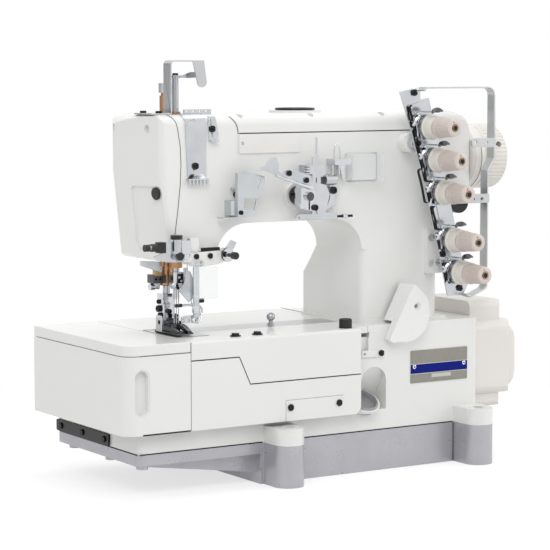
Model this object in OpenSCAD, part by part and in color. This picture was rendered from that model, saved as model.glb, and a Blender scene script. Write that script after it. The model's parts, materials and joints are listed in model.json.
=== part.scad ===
// Flatbed coverstitch sewing machine with a direct-drive motor.
// +X runs from the needle head to the handwheel, +Y to the back, +Z up.
// The origin is the centre of the four mounting holes, on the bottom plane.

/* [Base] */
// Distance between the mounting holes along the machine
lug_pitch_x = 260; // [240:1:300]
// Distance between the front and rear mounting holes
lug_pitch_y = 236; // [230:1:260]
// Diameter of the mounting holes
lug_hole_d = 13.5; // [9:0.5:16]
// Radius of the mounting lugs
lug_r = 17.5; // [14:0.5:19]
// Height of the lugs' top face
lug_top_z = 65; // [60:1:68]
// Left end of the oil pan and the bed casting
base_left_x = -304; // [-310:1:-290]
// Right end of the oil pan and the bed casting
base_right_x = 148; // [140:1:170]
// Front wall of the oil pan and the bed casting
base_front_y = -95; // [-98:1:-90]
// Rear wall of the oil pan and the bed casting
base_rear_y = 98; // [94:1:102]
// Height of the joint between the oil pan and the bed casting
pan_top_z = 46.6; // [40:0.2:52]
// Height of the shallow left tray's bottom
tray_z = 34; // [28:1:38]
// Left end of the deep pan
deep_left_x = -151; // [-160:1:-149]

/* [Bed] */
// Height of the cloth plates above the bottom plane
bed_z = 166.3; // [150:0.1:185]
// Left face of the bed
bed_left_x = -327; // [-340:1:-318]
// Front face of the bed covers
bed_front_y = -110; // [-114:1:-106]
// Rear face of the bed covers
bed_rear_y = 107; // [104:1:112]
// Lower edge of the bed covers
cover_bottom_z = 70; // [69:0.5:74]
// Joint between the left block and the rest of the bed
left_seam_x = -247; // [-252:1:-245]
// Right end of the front cover
front_right_x = -28; // [-40:1:-20]
// Right end of the cloth plate
plate_right_x = -9; // [-12:1:-7]
// Thickness of the cloth plates
plate_t = 8; // [6:0.5:9]
// Height of the left cloth plate's rim
cap_h = 11.5; // [10:0.5:14]
// Wall of the sheet and moulded covers
cover_wall = 3; // [2:0.25:4]
// Gap between neighbouring covers
seam = 0.6; // [0.4:0.1:1.2]
// Vertical corner radius of the left block
block_r = 17; // [10:1:20]

/* [Arm] */
// Front face of the arm and column
arm_front_y = -74; // [-80:1:-70]
// Rear face of the arm
arm_rear_y = 20; // [10:1:30]
// Top of the arm
arm_top_z = 406; // [395:1:415]
// Underside of the arm
arm_bottom_z = 287; // [275:1:292]
// Radius of the arm's long top edges
arm_edge_r = 13; // [8:1:16]
// Joint between the face cover and the arm
face_seam_x = -241; // [-243:1:-239]
// Left end of the face cover
face_left_x = -279; // [-284:1:-274]
// Bottom of the needle head
head_bottom_z = 248; // [244:1:252]
// Right side of the needle head at its foot
head_right_x = -195; // [-200:1:-190]
// Left face of the column
column_left_x = -3; // [-5:1:5]
// Right face of the column
column_right_x = 110; // [100:1:118]
// Radius of the throat's upper corners
throat_r = 38; // [20:1:44]
// Right end of the arm
arm_right_x = 148; // [140:1:149]
// Joint between the top cover and the arm
cover_seam_z = 385; // [378:1:390]

/* [Needle] */
// Needle bar axis, along the machine
needle_x = -229; // [-230:0.5:-226]
// Needle bar and main shaft axis, from front to back
needle_y = -46; // [-50:1:-42]
// Diameter of the needle bar
needle_bar_d = 7.2; // [6:0.1:8]
// Distance between neighbouring needles
needle_gauge = 2.8; // [2.4:0.2:3.2]
// Diameter of the presser bar
presser_bar_d = 8; // [7:0.1:9]
// Distance of the presser bar behind the needle bar
presser_dy = 22; // [20:1:26]
// Radial clearance of running fits
run_fit = 0.05; // [0.02:0.01:0.1]

/* [Drive] */
// Height of the main shaft
shaft_z = 352; // [345:1:356]
// Diameter of the main and lower shafts
shaft_d = 15; // [12:0.5:17]
// Height of the lower shaft
lower_z = 113; // [108:1:118]
// Lower shaft axis, from front to back
lower_y = -28; // [-34:1:-22]
// Diameter of the handwheel
wheel_d = 75; // [65:1:90]
// Right face of the handwheel
wheel_right_x = 200; // [195:1:210]
// Pitch diameter of the two timing pulleys
pulley_d = 40; // [34:1:44]
// Middle of the timing belt
belt_x = 78; // [70:1:82]

/* [Thread tension] */
// Tilt of the tension rack from upright
rack_tilt = 14.8; // [5:0.1:18]
// Place of the first tension post along the machine
rack_x = 70; // [66:1:74]
// Height of the first tension post
rack_z = 389; // [380:1:394]
// Front face of the rack plate
rack_y = -97; // [-100:1:-94]
// Distance between neighbouring tension posts
post_pitch = 38.8; // [36:0.2:40]
// Extra distance between the third and fourth posts
post_gap = 18; // [10:1:22]
// Diameter of the knobs' collars
collar_d = 29; // [24:0.5:32]
// Diameter of the knobs' caps
cap_d = 19; // [15:0.5:21]
// Length of a tension knob
knob_len = 50; // [40:1:56]

/* [Hidden] */
$fn = 48;
eps = 0.01;

white = [0.93, 0.93, 0.92];
cream = [0.9, 0.87, 0.83];
grey_paint = [0.66, 0.66, 0.69];
steel = [0.78, 0.79, 0.8];
black = [0.1, 0.1, 0.11];
brass = [0.76, 0.56, 0.32];

presser_y = needle_y + presser_dy;
lugs = [for (sx = [-1, 1], sy = [-1, 1]) [sx * lug_pitch_x / 2, sy * lug_pitch_y / 2]];
// Distance of each tension post down the rack from the first one
posts = [0, post_pitch, 2 * post_pitch, 3 * post_pitch + post_gap, 4 * post_pitch + post_gap];

// ---------- helpers ----------

// Extrudes an XZ outline from y0 to y1
module along_y(y0, y1) { translate([0, y1, 0]) rotate([90, 0, 0]) linear_extrude(y1 - y0) children(); }
// Extrudes a YZ outline from x0 to x1
module along_x(x0, x1) { translate([x0, 0, 0]) rotate([90, 0, 90]) linear_extrude(x1 - x0) children(); }
// Extrudes an XY outline from z0 to z1
module along_z(z0, z1) { translate([0, 0, z0]) linear_extrude(z1 - z0) children(); }
// Box given by its limits
module block(x0, x1, y0, y1, z0, z1) { translate([x0, y0, z0]) cube([x1 - x0, y1 - y0, z1 - z0]); }
// Rectangle with rounded corners, given by its limits
module round_rect(a0, a1, b0, b1, r) {
    translate([a0 + r, b0]) square([a1 - a0 - 2 * r, b1 - b0]);
    translate([a0, b0 + r]) square([a1 - a0, b1 - b0 - 2 * r]);
    for (a = [a0 + r, a1 - r], b = [b0 + r, b1 - r]) translate([a, b]) circle(r);
}
// Sheet of thickness t cut to the XZ outline p, with its front at y
module sheet(y, t, p) { along_y(y, y + t) polygon(p); }
// Round bars along each axis
module rod_x(x0, x1, y, z, d) { translate([x0, y, z]) rotate([0, 90, 0]) cylinder(h = x1 - x0, d = d); }
module rod_y(y0, y1, x, z, d) { translate([x, y1, z]) rotate([90, 0, 0]) cylinder(h = y1 - y0, d = d); }
module rod_z(z0, z1, x, y, d) { translate([x, y, z0]) cylinder(h = z1 - z0, d = d); }
// Points of an arc about c, from angle a0 to a1
function arc(c, r, a0, a1, n = 12) =
    [for (i = [0:n]) [c[0] + r * cos(a0 + (a1 - a0) * i / n), c[1] + r * sin(a0 + (a1 - a0) * i / n)]];
// Mitred offset direction at point i of the path p
function unit(v) = v / norm(v);
function left_of(v) = [-v[1], v[0]];
function step_in(p, i) = left_of(unit(p[max(i, 1)] - p[max(i, 1) - 1]));
function step_out(p, i) = left_of(unit(p[min(i, len(p) - 2) + 1] - p[min(i, len(p) - 2)]));
function mitre(p, i) = let (n = unit(step_in(p, i) + step_out(p, i))) n / (n * step_in(p, i));
// Flat strip of thickness t bent along the XZ points p, from y0 to y1
module bent_strip(p, t, y0, y1) {
    last = len(p) - 1;
    along_y(y0, y1) polygon(concat([for (i = [0:last]) p[i] + mitre(p, i) * t / 2],
        [for (i = [last:-1:0]) p[i] - mitre(p, i) * t / 2]));
}
// Cheese-head screw with a slot, its head standing up from the origin along +Z
module screw(d, h, shank) {
    difference() {
        cylinder(h = h, d = d, $fn = 32);
        translate([-d, -d * 0.07, h * 0.55]) cube([2 * d, d * 0.14, h]);
    }
    if (shank > 0) translate([0, 0, -shank]) cylinder(h = shank + eps, d = d * 0.5, $fn = 24);
}
// A child's +Z turned to face the front, the left or the right
module face_front(x, y, z) { translate([x, y, z]) rotate([90, 0, 0]) children(); }
module face_left(x, y, z) { translate([x, y, z]) rotate([0, -90, 0]) children(); }
// Places children on the rack, u down it from the first post and v across it to the right
module on_rack(u, v, y) {
    translate([rack_x, y, rack_z]) rotate([0, -rack_tilt, 0]) translate([v, 0, -u]) children();
}

// ---------- base ----------

// Lug outline, straight-sided from the wall to its round end
module lug_outline(x, s) {
    root_y = s < 0 ? base_front_y : base_rear_y;
    end_y = s * lug_pitch_y / 2;
    translate([x, end_y]) circle(lug_r);
    translate([x - lug_r, min(end_y, root_y - s)]) square([2 * lug_r, abs(end_y - root_y) + 1]);
}

module base_outline() { round_rect(base_left_x, base_right_x, base_front_y, base_rear_y, 8); }

module oil_pan() color(grey_paint) difference() {
    union() {
        // shallow tray on the left
        intersection() {
            along_z(tray_z, pan_top_z) base_outline();
            block(base_left_x, deep_left_x + 1, -200, 200, 0, 100);
        }
        // deep pan
        intersection() {
            along_z(0, pan_top_z) base_outline();
            block(deep_left_x, base_right_x, -200, 200, 0, 100);
        }
        // keel that drains the tray into the deep pan
        along_y(base_front_y + 10, base_rear_y - 14)
            polygon([[base_left_x + 14, tray_z + 1], [deep_left_x + 1, tray_z + 1],
                [deep_left_x + 1, tray_z - 22], [base_left_x + 14, tray_z - 2.5]]);
        for (x = [-1, 1], s = [-1, 1]) along_z(0, pan_top_z) lug_outline(x * lug_pitch_x / 2, s);
        // small cast feet under the tray
        for (y = [base_front_y + 8, base_front_y + 78, base_rear_y - 28])
            rod_z(tray_z - 4, tray_z + 1, base_left_x + 9, y, 13);
    }
    for (p = lugs) rod_z(-1, pan_top_z + 1, p[0], p[1], lug_hole_d);
    // the sump, open to the bed casting
    along_z(6, pan_top_z + 1)
        round_rect(deep_left_x + 7, base_right_x - 7, base_front_y + 7, base_rear_y - 7, 6);
    // underside relief, so that the pan stands on a rim and its lugs
    along_z(-1, 2.5)
        round_rect(deep_left_x + 7, base_right_x - 7, base_front_y + 7, base_rear_y - 7, 6);
}

end_screws = [-22, 30, base_rear_y - 16];
module pan_end_plate() color(black) difference() {
    along_x(base_left_x - 2.5, base_left_x) round_rect(-32, base_rear_y - 4, 47.5, 60.5, 2.5);
    for (y = end_screws) rod_x(base_left_x - 4, base_left_x + 1, y, 54, 4);
}

// ---------- bed ----------

plate_z0 = bed_z - plate_t;
deck_z = 69;
block_left_x = front_right_x;
hinge_r = 6;
// Axis of the front cover's hinge
front_hinge = [base_front_y - 7, 76];
side_pivot = [left_seam_x - seam - hinge_r, bed_rear_y - hinge_r];

module bed_casting() color(white) difference() {
    union() {
        // low deck over the pan
        along_z(pan_top_z, deck_z) base_outline();
        for (x = [-1, 1], s = [-1, 1]) along_z(pan_top_z, lug_top_z) lug_outline(x * lug_pitch_x / 2, s);
        // right-hand block under the column
        intersection() {
            along_z(deck_z - 1, plate_z0) base_outline();
            block(block_left_x, base_right_x, -200, 200, 0, 400);
        }
        intersection() {
            along_z(plate_z0 - 1, bed_z) base_outline();
            block(plate_right_x + seam / 2, base_right_x, -200, 200, 0, 400);
        }
        // rear wall behind the looper chamber
        block(left_seam_x + 1, block_left_x + 1, base_rear_y - 12, base_rear_y, deck_z - 1, plate_z0);
        // cylinder bed that carries the looper and the feed
        block(needle_x - 17, needle_x + 31, needle_y + 14, base_rear_y - 11, deck_z - 1, plate_z0 - 20);
        // front bearing stand of the lower shaft
        block(-110, -94, lower_y - 16, lower_y + 16, deck_z - 1, lower_z + 16);
        // ears of the front cover's hinge
        for (x = [-226, -60]) {
            rod_x(x - 4, x + 4, front_hinge[0], front_hinge[1], 9);
            block(x - 4, x + 4, front_hinge[0], base_front_y + 9, 73, 80);
            block(x - 4, x + 4, base_front_y + 0.5, base_front_y + 9, deck_z - 1, 74);
        }
        // stop boss of the push button
        rod_z(plate_z0 - 30, plate_z0 - 8, button_x, button_y, 18);
        block(button_x, block_left_x + 1, base_front_y, base_front_y + 8, plate_z0 - 30, plate_z0 - 8);
        // slanting boss of the oil plug
        intersection() {
            on_plug_seat() rod_z(-30, 0, 0, 0, 40);
            block(-60, 60, -120, -60, deck_z - 1, 120);
        }
        // seat of the side cover's hinge pin
        rod_z(deck_z - 1, deck_z + 1, side_pivot[0], side_pivot[1] - 6.4, 14);
        rod_z(deck_z - 6, deck_z + 1, side_pivot[0], side_pivot[1], 12);
    }
    for (p = lugs) rod_z(0, bed_z + 1, p[0], p[1], lug_hole_d);
    for (x = [-226, -60]) rod_x(x - 5, x + 5, front_hinge[0], front_hinge[1], 4);
    rod_z(deck_z - 12, deck_z + 2, side_pivot[0], side_pivot[1], 5);
    // lower shaft
    rod_x(block_left_x - 1, base_right_x + 1, lower_y, lower_z, shaft_d + 2 * run_fit);
    rod_x(-111, -93, lower_y, lower_z, shaft_d + 2 * run_fit);
    rod_x(needle_x + 10, needle_x + 32, lower_y, lower_z, shaft_d + 2 * run_fit);
    // looper shaft
    rod_y(needle_y + 13, needle_y + 60, needle_x + 6, 92, 10 + 2 * run_fit);
    // feed bar
    block(needle_x - 7.3, needle_x + 7.3, needle_y + 13, needle_y + 70, plate_z0 - 30.3, plate_z0 - 19);
    // belt well
    along_z(lower_z - pulley_d / 2 - 10, bed_z + 1) belt_well();
    // push button bore
    rod_z(plate_z0 - 26, plate_z0 - 7, button_x, button_y, 10 + 2 * run_fit);
    // recess for the latch beside the front cover
    block(block_left_x - 1, block_left_x + 20, base_front_y - 1, base_front_y + 4, deck_z + 61, plate_z0 + 1);
    block(block_left_x - 1, block_left_x + 21, base_front_y - 1, base_front_y + 16, plate_z0 - 5, plate_z0 + 1);
    // scoop above the oil plug
    difference() {
        along_y(base_front_y - 1, base_front_y + 33) {
            translate([block_left_x + 27.5, 102]) circle(17);
            translate([block_left_x - 1, deck_z + 1]) square([45.5, 33]);
        }
        along_x(-60, 40) polygon([[base_front_y, 120], [base_front_y + 34, 67], [base_front_y + 34, 130],
            [base_front_y, 130]]);
        on_plug_seat() rod_z(-60, 0, 0, 0, 40);
    }
    on_plug_seat() rod_z(-9.2, 1, 0, 0, 31);
    rod_y(base_front_y - 1, base_front_y + 10, latch_screw_x, 134.5, 4);
    rod_y(base_front_y - 1, base_front_y + 8, name_x0 + 5, name_z + name_h / 2, 2.6);
    rod_y(base_front_y - 1, base_front_y + 8, name_x0 + name_w - 5, name_z + name_h / 2, 2.6);
    // black plate screws
    for (y = end_screws) rod_x(base_left_x - 1, base_left_x + 8, y, 54, 3.4);
}

module belt_well() {
    translate([belt_x - 15, needle_y - pulley_d / 2 - 4.5])
        square([30, lower_y - needle_y + pulley_d + 10]);
}

side_len_x = left_seam_x - seam - bed_left_x;
cap_z0 = bed_z - cap_h;

// Outline of the left block, shrunk all round by w
module left_outline(w) {
    x1 = left_seam_x - seam - w;
    difference() {
        union() {
            translate([bed_left_x + block_r, bed_front_y + w]) square([x1 - bed_left_x - block_r,
                bed_rear_y - bed_front_y - 2 * w]);
            translate([bed_left_x + block_r, bed_front_y + block_r]) circle(block_r - w);
            translate([bed_left_x + w, bed_front_y + block_r])
                square([block_r, bed_rear_y - bed_front_y - block_r - w]);
        }
        // rear right corner, rounded about the hinge
        translate(side_pivot) difference() {
            square(hinge_r + 1);
            circle(hinge_r - w);
        }
    }
}

slot_x = bed_left_x + 20;
module side_cover() color(white) difference() {
    union() {
        difference() {
            along_z(cover_bottom_z, cap_z0 - seam) left_outline(0);
            along_z(cover_bottom_z - 1, cap_z0 + 1) difference() {
                left_outline(cover_wall);
                translate([side_pivot[0] - 7, side_pivot[1] - 7]) square(20);
            }
            // open to the looper chamber
            block(left_seam_x - 6, left_seam_x + 1, bed_front_y + cover_wall, side_pivot[1] - 7,
                cover_bottom_z - 1, cap_z0);
        }
        // pocket behind the finger slot
        block(slot_x - 10, slot_x + 12, bed_front_y + 2, bed_front_y + 11, 84, 146);
    }
    // finger slot
    along_y(bed_front_y - 1, bed_front_y + 8) {
        for (z = [99, 131]) translate([slot_x, z]) circle(8);
        translate([slot_x - 8, 99]) square([16, 32]);
    }
    // its stepped rim
    along_y(bed_front_y - 1, bed_front_y + 0.8) {
        for (z = [99, 131]) translate([slot_x, z]) circle(9.6);
        translate([slot_x - 9.6, 99]) square([19.2, 32]);
    }
    rod_z(cover_bottom_z - 1, cap_z0, side_pivot[0], side_pivot[1], 6 + 2 * run_fit);
}

module cloth_plate_left() color(white) difference() {
    along_z(cap_z0, bed_z) left_outline(0);
    along_z(cap_z0 - 1, bed_z - 3.5) difference() {
        left_outline(cover_wall);
        translate([side_pivot[0] - 9, side_pivot[1] - 9]) square(24);
    }
    rod_z(cap_z0 - 1, cap_z0 + 5, side_pivot[0], side_pivot[1], 6 + 2 * run_fit);
}

module side_hinge_pin() color(steel) {
    rod_z(deck_z + 1, cap_z0 + 3, side_pivot[0], side_pivot[1], 6);
    rod_z(deck_z - 10, deck_z + 1 + eps, side_pivot[0], side_pivot[1], 5);
}

np_x0 = needle_x - 15;
np_x1 = needle_x + 25;
np_y0 = needle_y - 28;
np_y1 = needle_y + 49;
np_t = 2.5;
strip_y0 = needle_y + 2;
strip_y1 = needle_y + 41;
strip_t = 2;
step_x0 = -187;
step_x1 = -173;
split_hi = 146;
split_lo = 115.5;
button_x = front_right_x - 12;
button_y = base_front_y - 1;

module bed_plate() color(white) difference() {
    union() {
        along_z(plate_z0, bed_z) difference() {
            translate([left_seam_x, bed_front_y]) square([plate_right_x - seam / 2 - left_seam_x,
                bed_rear_y - bed_front_y]);
            translate([front_right_x, bed_front_y - 1]) square([30, base_front_y - bed_front_y + 1]);
        }
        // front skirt with its stepped lower edge
        along_y(bed_front_y, bed_front_y + 4) polygon([[left_seam_x, bed_z - 1], [left_seam_x, split_hi],
            [step_x0, split_hi], [step_x1, split_lo], [front_right_x, split_lo], [front_right_x, bed_z - 1]]);
        // rim at the back
        block(left_seam_x, plate_right_x - seam / 2, bed_rear_y - 4, bed_rear_y, plate_z0 - 6, bed_z);
    }
    // rounded top edges
    along_x(left_seam_x - 1, front_right_x + 1) translate([bed_front_y, bed_z]) edge_cut(3.5, 0);
    along_x(left_seam_x - 1, plate_right_x + 1) translate([bed_rear_y, bed_z]) edge_cut(3.5, 90);
    block(np_x0, np_x1, np_y0, np_y1, bed_z - np_t, bed_z + 1);
    block(np_x0 + 4, np_x1 - 5, np_y0 + 6, np_y1 - 6, plate_z0 - 1, bed_z);
    block(np_x1 + 2, plate_right_x - 4, strip_y0, strip_y1, bed_z - strip_t, bed_z + 1);
    rod_z(plate_z0 - 1, bed_z, ball_x, ball_y, 4);
    rod_z(plate_z0 - 7, bed_z + 1, button_x, button_y, 10.4);
    rod_z(bed_z - 5, bed_z + 1, button_x, button_y, 15.2);
    for (x = plate_screws) rod_z(plate_z0 - 1, bed_z + 1, x, bed_front_y + 15.5, 4);
}

// Corner cutter that leaves a quarter round of radius r at the origin's inner side
module edge_cut(r, a) {
    rotate(-90 + a) translate([-eps, -eps]) mirror([0, 0]) difference() {
        translate([-1, -1]) square(r + 1);
        translate([r, r]) circle(r);
    }
}

module slide_plate() color(steel) difference() {
    block(np_x1 + 2 + 0.3, plate_right_x - 4.3, strip_y0 + 0.3, strip_y1 - 0.3, bed_z - strip_t, bed_z);
    rod_z(0, bed_z + 1, ball_x, ball_y, 4);
}

plate_screws = [-183, -155];
ball_x = -95;
ball_y = needle_y + 20;
module ball_knob() color(steel) {
    translate([ball_x, ball_y, bed_z]) rotate_extrude() difference() {
        union() {
            translate([0, 0]) square([3.8, 1.6]);
            square([2.4, 6]);
            translate([0, 9]) circle(4.9);
        }
        translate([-10, -1]) square([10, 20]);
    }
    rod_z(plate_z0 + 1, bed_z + eps, ball_x, ball_y, 4);
}

acc_x0 = -128;
acc_x1 = -52;
acc_z1 = 93.5;
module front_cover() color(white) difference() {
    union() {
        along_y(bed_front_y, bed_front_y + cover_wall) difference() {
            polygon([[left_seam_x, cover_bottom_z], [left_seam_x, split_hi - 1.2],
                [step_x0 - 0.6, split_hi - 1.2], [step_x1 - 0.6, split_lo - 1.2],
                [front_right_x, split_lo - 1.2], [front_right_x, cover_bottom_z]]);
            translate([front_right_x, cover_bottom_z]) rotate(90) difference() {
                square([9, 9]);
                translate([9, 9]) circle(9);
            }
        }
        for (x = [-226, -60], s = [-1, 1]) hinge_leaf(x + s * 7.5);
        // stiffening return along the bottom
        block(left_seam_x + 8, front_right_x - 12, bed_front_y + cover_wall - 1, bed_front_y + 6,
            cover_bottom_z + 13, cover_bottom_z + 15);
    }
    // seat of the access plate
    block(acc_x0, acc_x1, bed_front_y - 1, bed_front_y + 1.2, cover_bottom_z - 1, acc_z1);
    for (x = [acc_x0 + 6, acc_x1 - 6]) rod_y(bed_front_y - 1, bed_front_y + 6, x, acc_z1 - 8.5, 4);
    for (x = [-226, -60]) rod_x(x - 12, x + 12, front_hinge[0], front_hinge[1], 4 + 2 * run_fit);
}

module hinge_leaf(x) {
    rod_x(x - 3, x + 3, front_hinge[0], front_hinge[1], 8);
    block(x - 3, x + 3, bed_front_y + 1, front_hinge[0], 72, 80);
}

module access_plate() color(white) difference() {
    block(acc_x0 + 0.4, acc_x1 - 0.4, bed_front_y - 0.6, bed_front_y + 1.2, cover_bottom_z, acc_z1 - 0.6);
    for (x = [acc_x0 + 6, acc_x1 - 6]) rod_y(bed_front_y - 2, bed_front_y + 6, x, acc_z1 - 8.5, 4);
}

module access_screws() color(black)
    for (x = [acc_x0 + 6, acc_x1 - 6]) face_front(x, bed_front_y - 0.6, acc_z1 - 8.5) {
        screw(7.6, 1.4, 0);
        translate([0, 0, -4.6]) cylinder(h = 4.7, d = 4);
    }

module cover_hinge_pins() color(steel)
    for (x = [-226, -60]) rod_x(x - 11, x + 11, front_hinge[0], front_hinge[1], 4);

latch_screw_x = 8;
module cover_latch() color(white) difference() {
    union() {
        block(latch_screw_x - 26, latch_screw_x, base_front_y - 2, base_front_y, 130.5, 138.5);
        rod_y(base_front_y - 2, base_front_y, latch_screw_x, 134.5, 8);
    }
    rod_y(base_front_y - 4, base_front_y + 1, latch_screw_x, 134.5, 4 + 2 * run_fit);
    rod_y(base_front_y - 4, base_front_y + 1, latch_screw_x - 22, 134.5, 3);
}

// The oil plug sits on a boss that leans back
module on_plug_seat() { translate([-12.5, base_front_y + 3.3, 81]) rotate([33, 0, 0]) children(); }
module oil_plug() color([0.45, 0.46, 0.48]) on_plug_seat() rotate_extrude()
    polygon([[0, -9], [15.4, -9], [15.4, 0], [17.6, 0], [17.6, 1.4], [16.6, 2.2], [15.6, 2.2], [14, -5], [0, -5]]);

module push_button() color(black) {
    translate([button_x, button_y, bed_z - 0.4]) rotate_extrude()
        polygon(concat([[0, 0], [7.2, 0]], arc([5.8, 9.3], 1.4, 0, 90, 4), [[0, 10.7]]));
    rod_z(plate_z0 - 20, bed_z, button_x, button_y, 10);
}

module needle_plate() color(steel) difference() {
    block(np_x0 + 0.2, np_x1 - 0.2, np_y0 + 0.2, np_y1 - 0.2, bed_z - np_t, bed_z);
    // needle slot
    block(needle_x - needle_gauge - 1.6, needle_x + needle_gauge + 1.6, needle_y - 1.3, needle_y + 1.3,
        bed_z - 4, bed_z + 1);
    // feed slots
    for (i = [-2:2]) block(needle_x + i * 4.2 - 1.5, needle_x + i * 4.2 + 1.5, needle_y + 4, needle_y + 34,
        bed_z - 4, bed_z + 1);
}

module feed_dog() color(steel) {
    for (i = [-2:2]) along_x(needle_x + i * 4.2 - 1.1, needle_x + i * 4.2 + 1.1)
        polygon(concat([[needle_y + 8, plate_z0 - 4], [needle_y + 30, plate_z0 - 4], [needle_y + 30, bed_z]],
            [for (k = [10:-1:0]) each [[needle_y + 8 + k * 2 + 2, bed_z + 0.9],
                [needle_y + 8 + k * 2, bed_z]]]));
    block(needle_x - 10, needle_x + 10, needle_y + 8, needle_y + 30, plate_z0 - 12, plate_z0 - 4 + eps);
    block(needle_x - 7, needle_x + 7, needle_y + 8, needle_y + 62, plate_z0 - 30 + eps, plate_z0 - 12 + eps);
}

// Looper on its rocking shaft, below the needle plate
looper_pivot = [needle_x + 6, 92];
module looper() color(steel) {
    rod_y(needle_y + 0.8, needle_y + 56, looper_pivot[0], looper_pivot[1], 10);
    along_y(needle_y + 0.8, needle_y + 7) difference() {
        union() {
            translate(looper_pivot) circle(9);
            polygon([[looper_pivot[0] - 5, looper_pivot[1]], [looper_pivot[0] + 6, looper_pivot[1]],
                [looper_pivot[0] + 20, 144], [looper_pivot[0] + 12, 146]]);
        }
        translate(looper_pivot) circle(4.9);
    }
    along_y(needle_y + 0.8, needle_y + 2.8) polygon([[looper_pivot[0] + 18, 140], [looper_pivot[0] + 19, 149],
        [looper_pivot[0] + 10, 153.5], [looper_pivot[0] - 13, 152.4], [looper_pivot[0] - 13.5, 151.4],
        [looper_pivot[0] + 8, 149.5], [looper_pivot[0] + 12, 142]]);
}

// ---------- arm ----------

// Face cover joint: the seam bows towards the arm at two thirds of its height
seam_points = [[-10, -10], [7, -8.2], [33, -4.4], [57, -1], [82, 1.8], [104, 3], [124, 2.2], [142, -0.8],
    [152, -3.5], [170, -9]];
function seam_curve(x) = [for (p = seam_points)
    [x + p[1], head_bottom_z + p[0] * (arm_top_z - head_bottom_z) / 158]];

// Front view of the arm casting
module arm_outline() {
    polygon(concat(
        [for (p = seam_curve(face_seam_x)) [p[0], min(max(p[1], head_bottom_z), arm_top_z)]],
        [[-180, arm_top_z]],
        [[arm_right_x - 26, arm_top_z]],
        arc([arm_right_x - 26, arm_top_z - 26], 26, 90, 0, 8),
        [[arm_right_x, 306]],
        arc([column_right_x + 30, 306], 8, 0, -90, 4),
        arc([column_right_x + 22, 276], 22, 90, 180, 6),
        [[column_right_x, bed_z], [column_left_x, bed_z]],
        arc([column_left_x - throat_r, arm_bottom_z - throat_r], throat_r, 0, 90, 12),
        arc([head_right_x + throat_r, arm_bottom_z - throat_r], throat_r, 90, 180, 12),
        [[head_right_x, head_bottom_z]]));
}

cover_x0 = -167;
cover_x1 = 80;
// Front view of the top cover, grown by g at its joint
module cover_outline(g) {
    difference() {
        translate([cover_x0 - 26, cover_seam_z - g]) square([cover_x1 + g - cover_x0 + 26, 40]);
        translate([cover_x0 - 25, cover_seam_z - 1]) circle(25 - g);
        translate([cover_x0 - 60, cover_seam_z - 10]) square([35, 60]);
        translate([cover_x0 - 26, cover_seam_z - 10]) square([26 - g, 10 - g]);
    }
}

module arm_section(w) {
    intersection() {
        round_rect(arm_front_y + w, arm_rear_y - w, arm_top_z - 100, arm_top_z - w, arm_edge_r - w);
        translate([-200, 0]) square([400, 600]);
    }
    translate([arm_front_y + w, bed_z]) square([arm_rear_y - arm_front_y - 2 * w, arm_top_z - 60 - bed_z]);
}

col_r = 9;
module arm_casting() color(white) {
    arm_body();
    // pad of the tension rack on the column
    difference() {
        block(84, 105, arm_front_y - 6, arm_front_y + 14, 219.5, 271);
        for (p = [[90.5, 261], [91, 231]]) rod_y(arm_front_y - 7, arm_front_y - 1, p[0], p[1], 9);
    }
}

module arm_body() difference() {
    union() {
        intersection() {
            along_y(arm_front_y, arm_rear_y) arm_outline();
            along_x(face_left_x, arm_right_x) arm_section(0);
        }
        // wider foot of the column, at the back
        along_x(column_left_x, column_right_x) polygon([[arm_rear_y - 1, bed_z], [arm_rear_y + 28, bed_z],
            [arm_rear_y + 28, 216], [arm_rear_y + 14, 232], [arm_rear_y - 1, 251]]);
        // boss of the tension bracket
        rod_y(arm_front_y - 12, arm_front_y + 1, 56, 371, 22);
        // boss of the take-up shaft
        rod_y(arm_front_y - 9, arm_front_y + 1, take_up_pivot[0], take_up_pivot[1], 27);
        // foot flange of the column
        along_z(bed_z, bed_z + 3) round_rect(column_left_x - 4, column_right_x + 6, arm_front_y - 5,
            arm_rear_y + 32, 8);
    }
    // joint to the top cover and the chamber below it
    along_y(arm_front_y - 1, arm_rear_y + 1) cover_outline(0);
    block(cover_x0 + 12, bush_x, arm_front_y + 12, arm_rear_y - 12, shaft_z - 32, cover_seam_z + 1);
    // main shaft
    rod_x(-222, arm_right_x + 1, needle_y, shaft_z, shaft_d + 2 * run_fit);
    for (x = [cover_x0 + 3.5, bush_x]) rod_x(x, x + 8.5, needle_y, shaft_z, 24);
    // belt well, from the bed to the upper pulley
    along_z(bed_z - 1, shaft_z + pulley_d / 2 + 8) belt_well();
    // crank chamber in the head
    block(face_seam_x - 6, -210, needle_y - 22, needle_y + 22, shaft_z - 27, shaft_z + 27);
    // needle bar and presser bar with their bushes
    rod_z(head_bottom_z - 2, arm_top_z + 2, needle_x, needle_y, needle_bar_d + 4);
    rod_z(head_bottom_z - 2, arm_top_z + 2, needle_x, presser_y, presser_bar_d + 4);
    // rounded upright edges of the column
    for (y = [arm_front_y]) translate([column_left_x, y, bed_z + 3]) along_z(0, 82) corner_cut(col_r);
    translate([column_right_x, arm_front_y, bed_z + 3]) mirror([1, 0, 0]) along_z(0, 106) corner_cut(20);
    // badge screw and take-up shaft
    rod_y(arm_front_y - 1, arm_front_y + 6, badge_x0 + 4, 374.5, 2.6);
    rod_y(arm_front_y - 10, arm_front_y + 11, take_up_pivot[0], take_up_pivot[1], 10 + 2 * run_fit);
}

// Cutter for an upright corner at the origin with material towards +X and +Y
module corner_cut(r) {
    difference() {
        translate([-1, -1]) square(r + 1);
        translate([r, r]) circle(r);
    }
}

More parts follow.
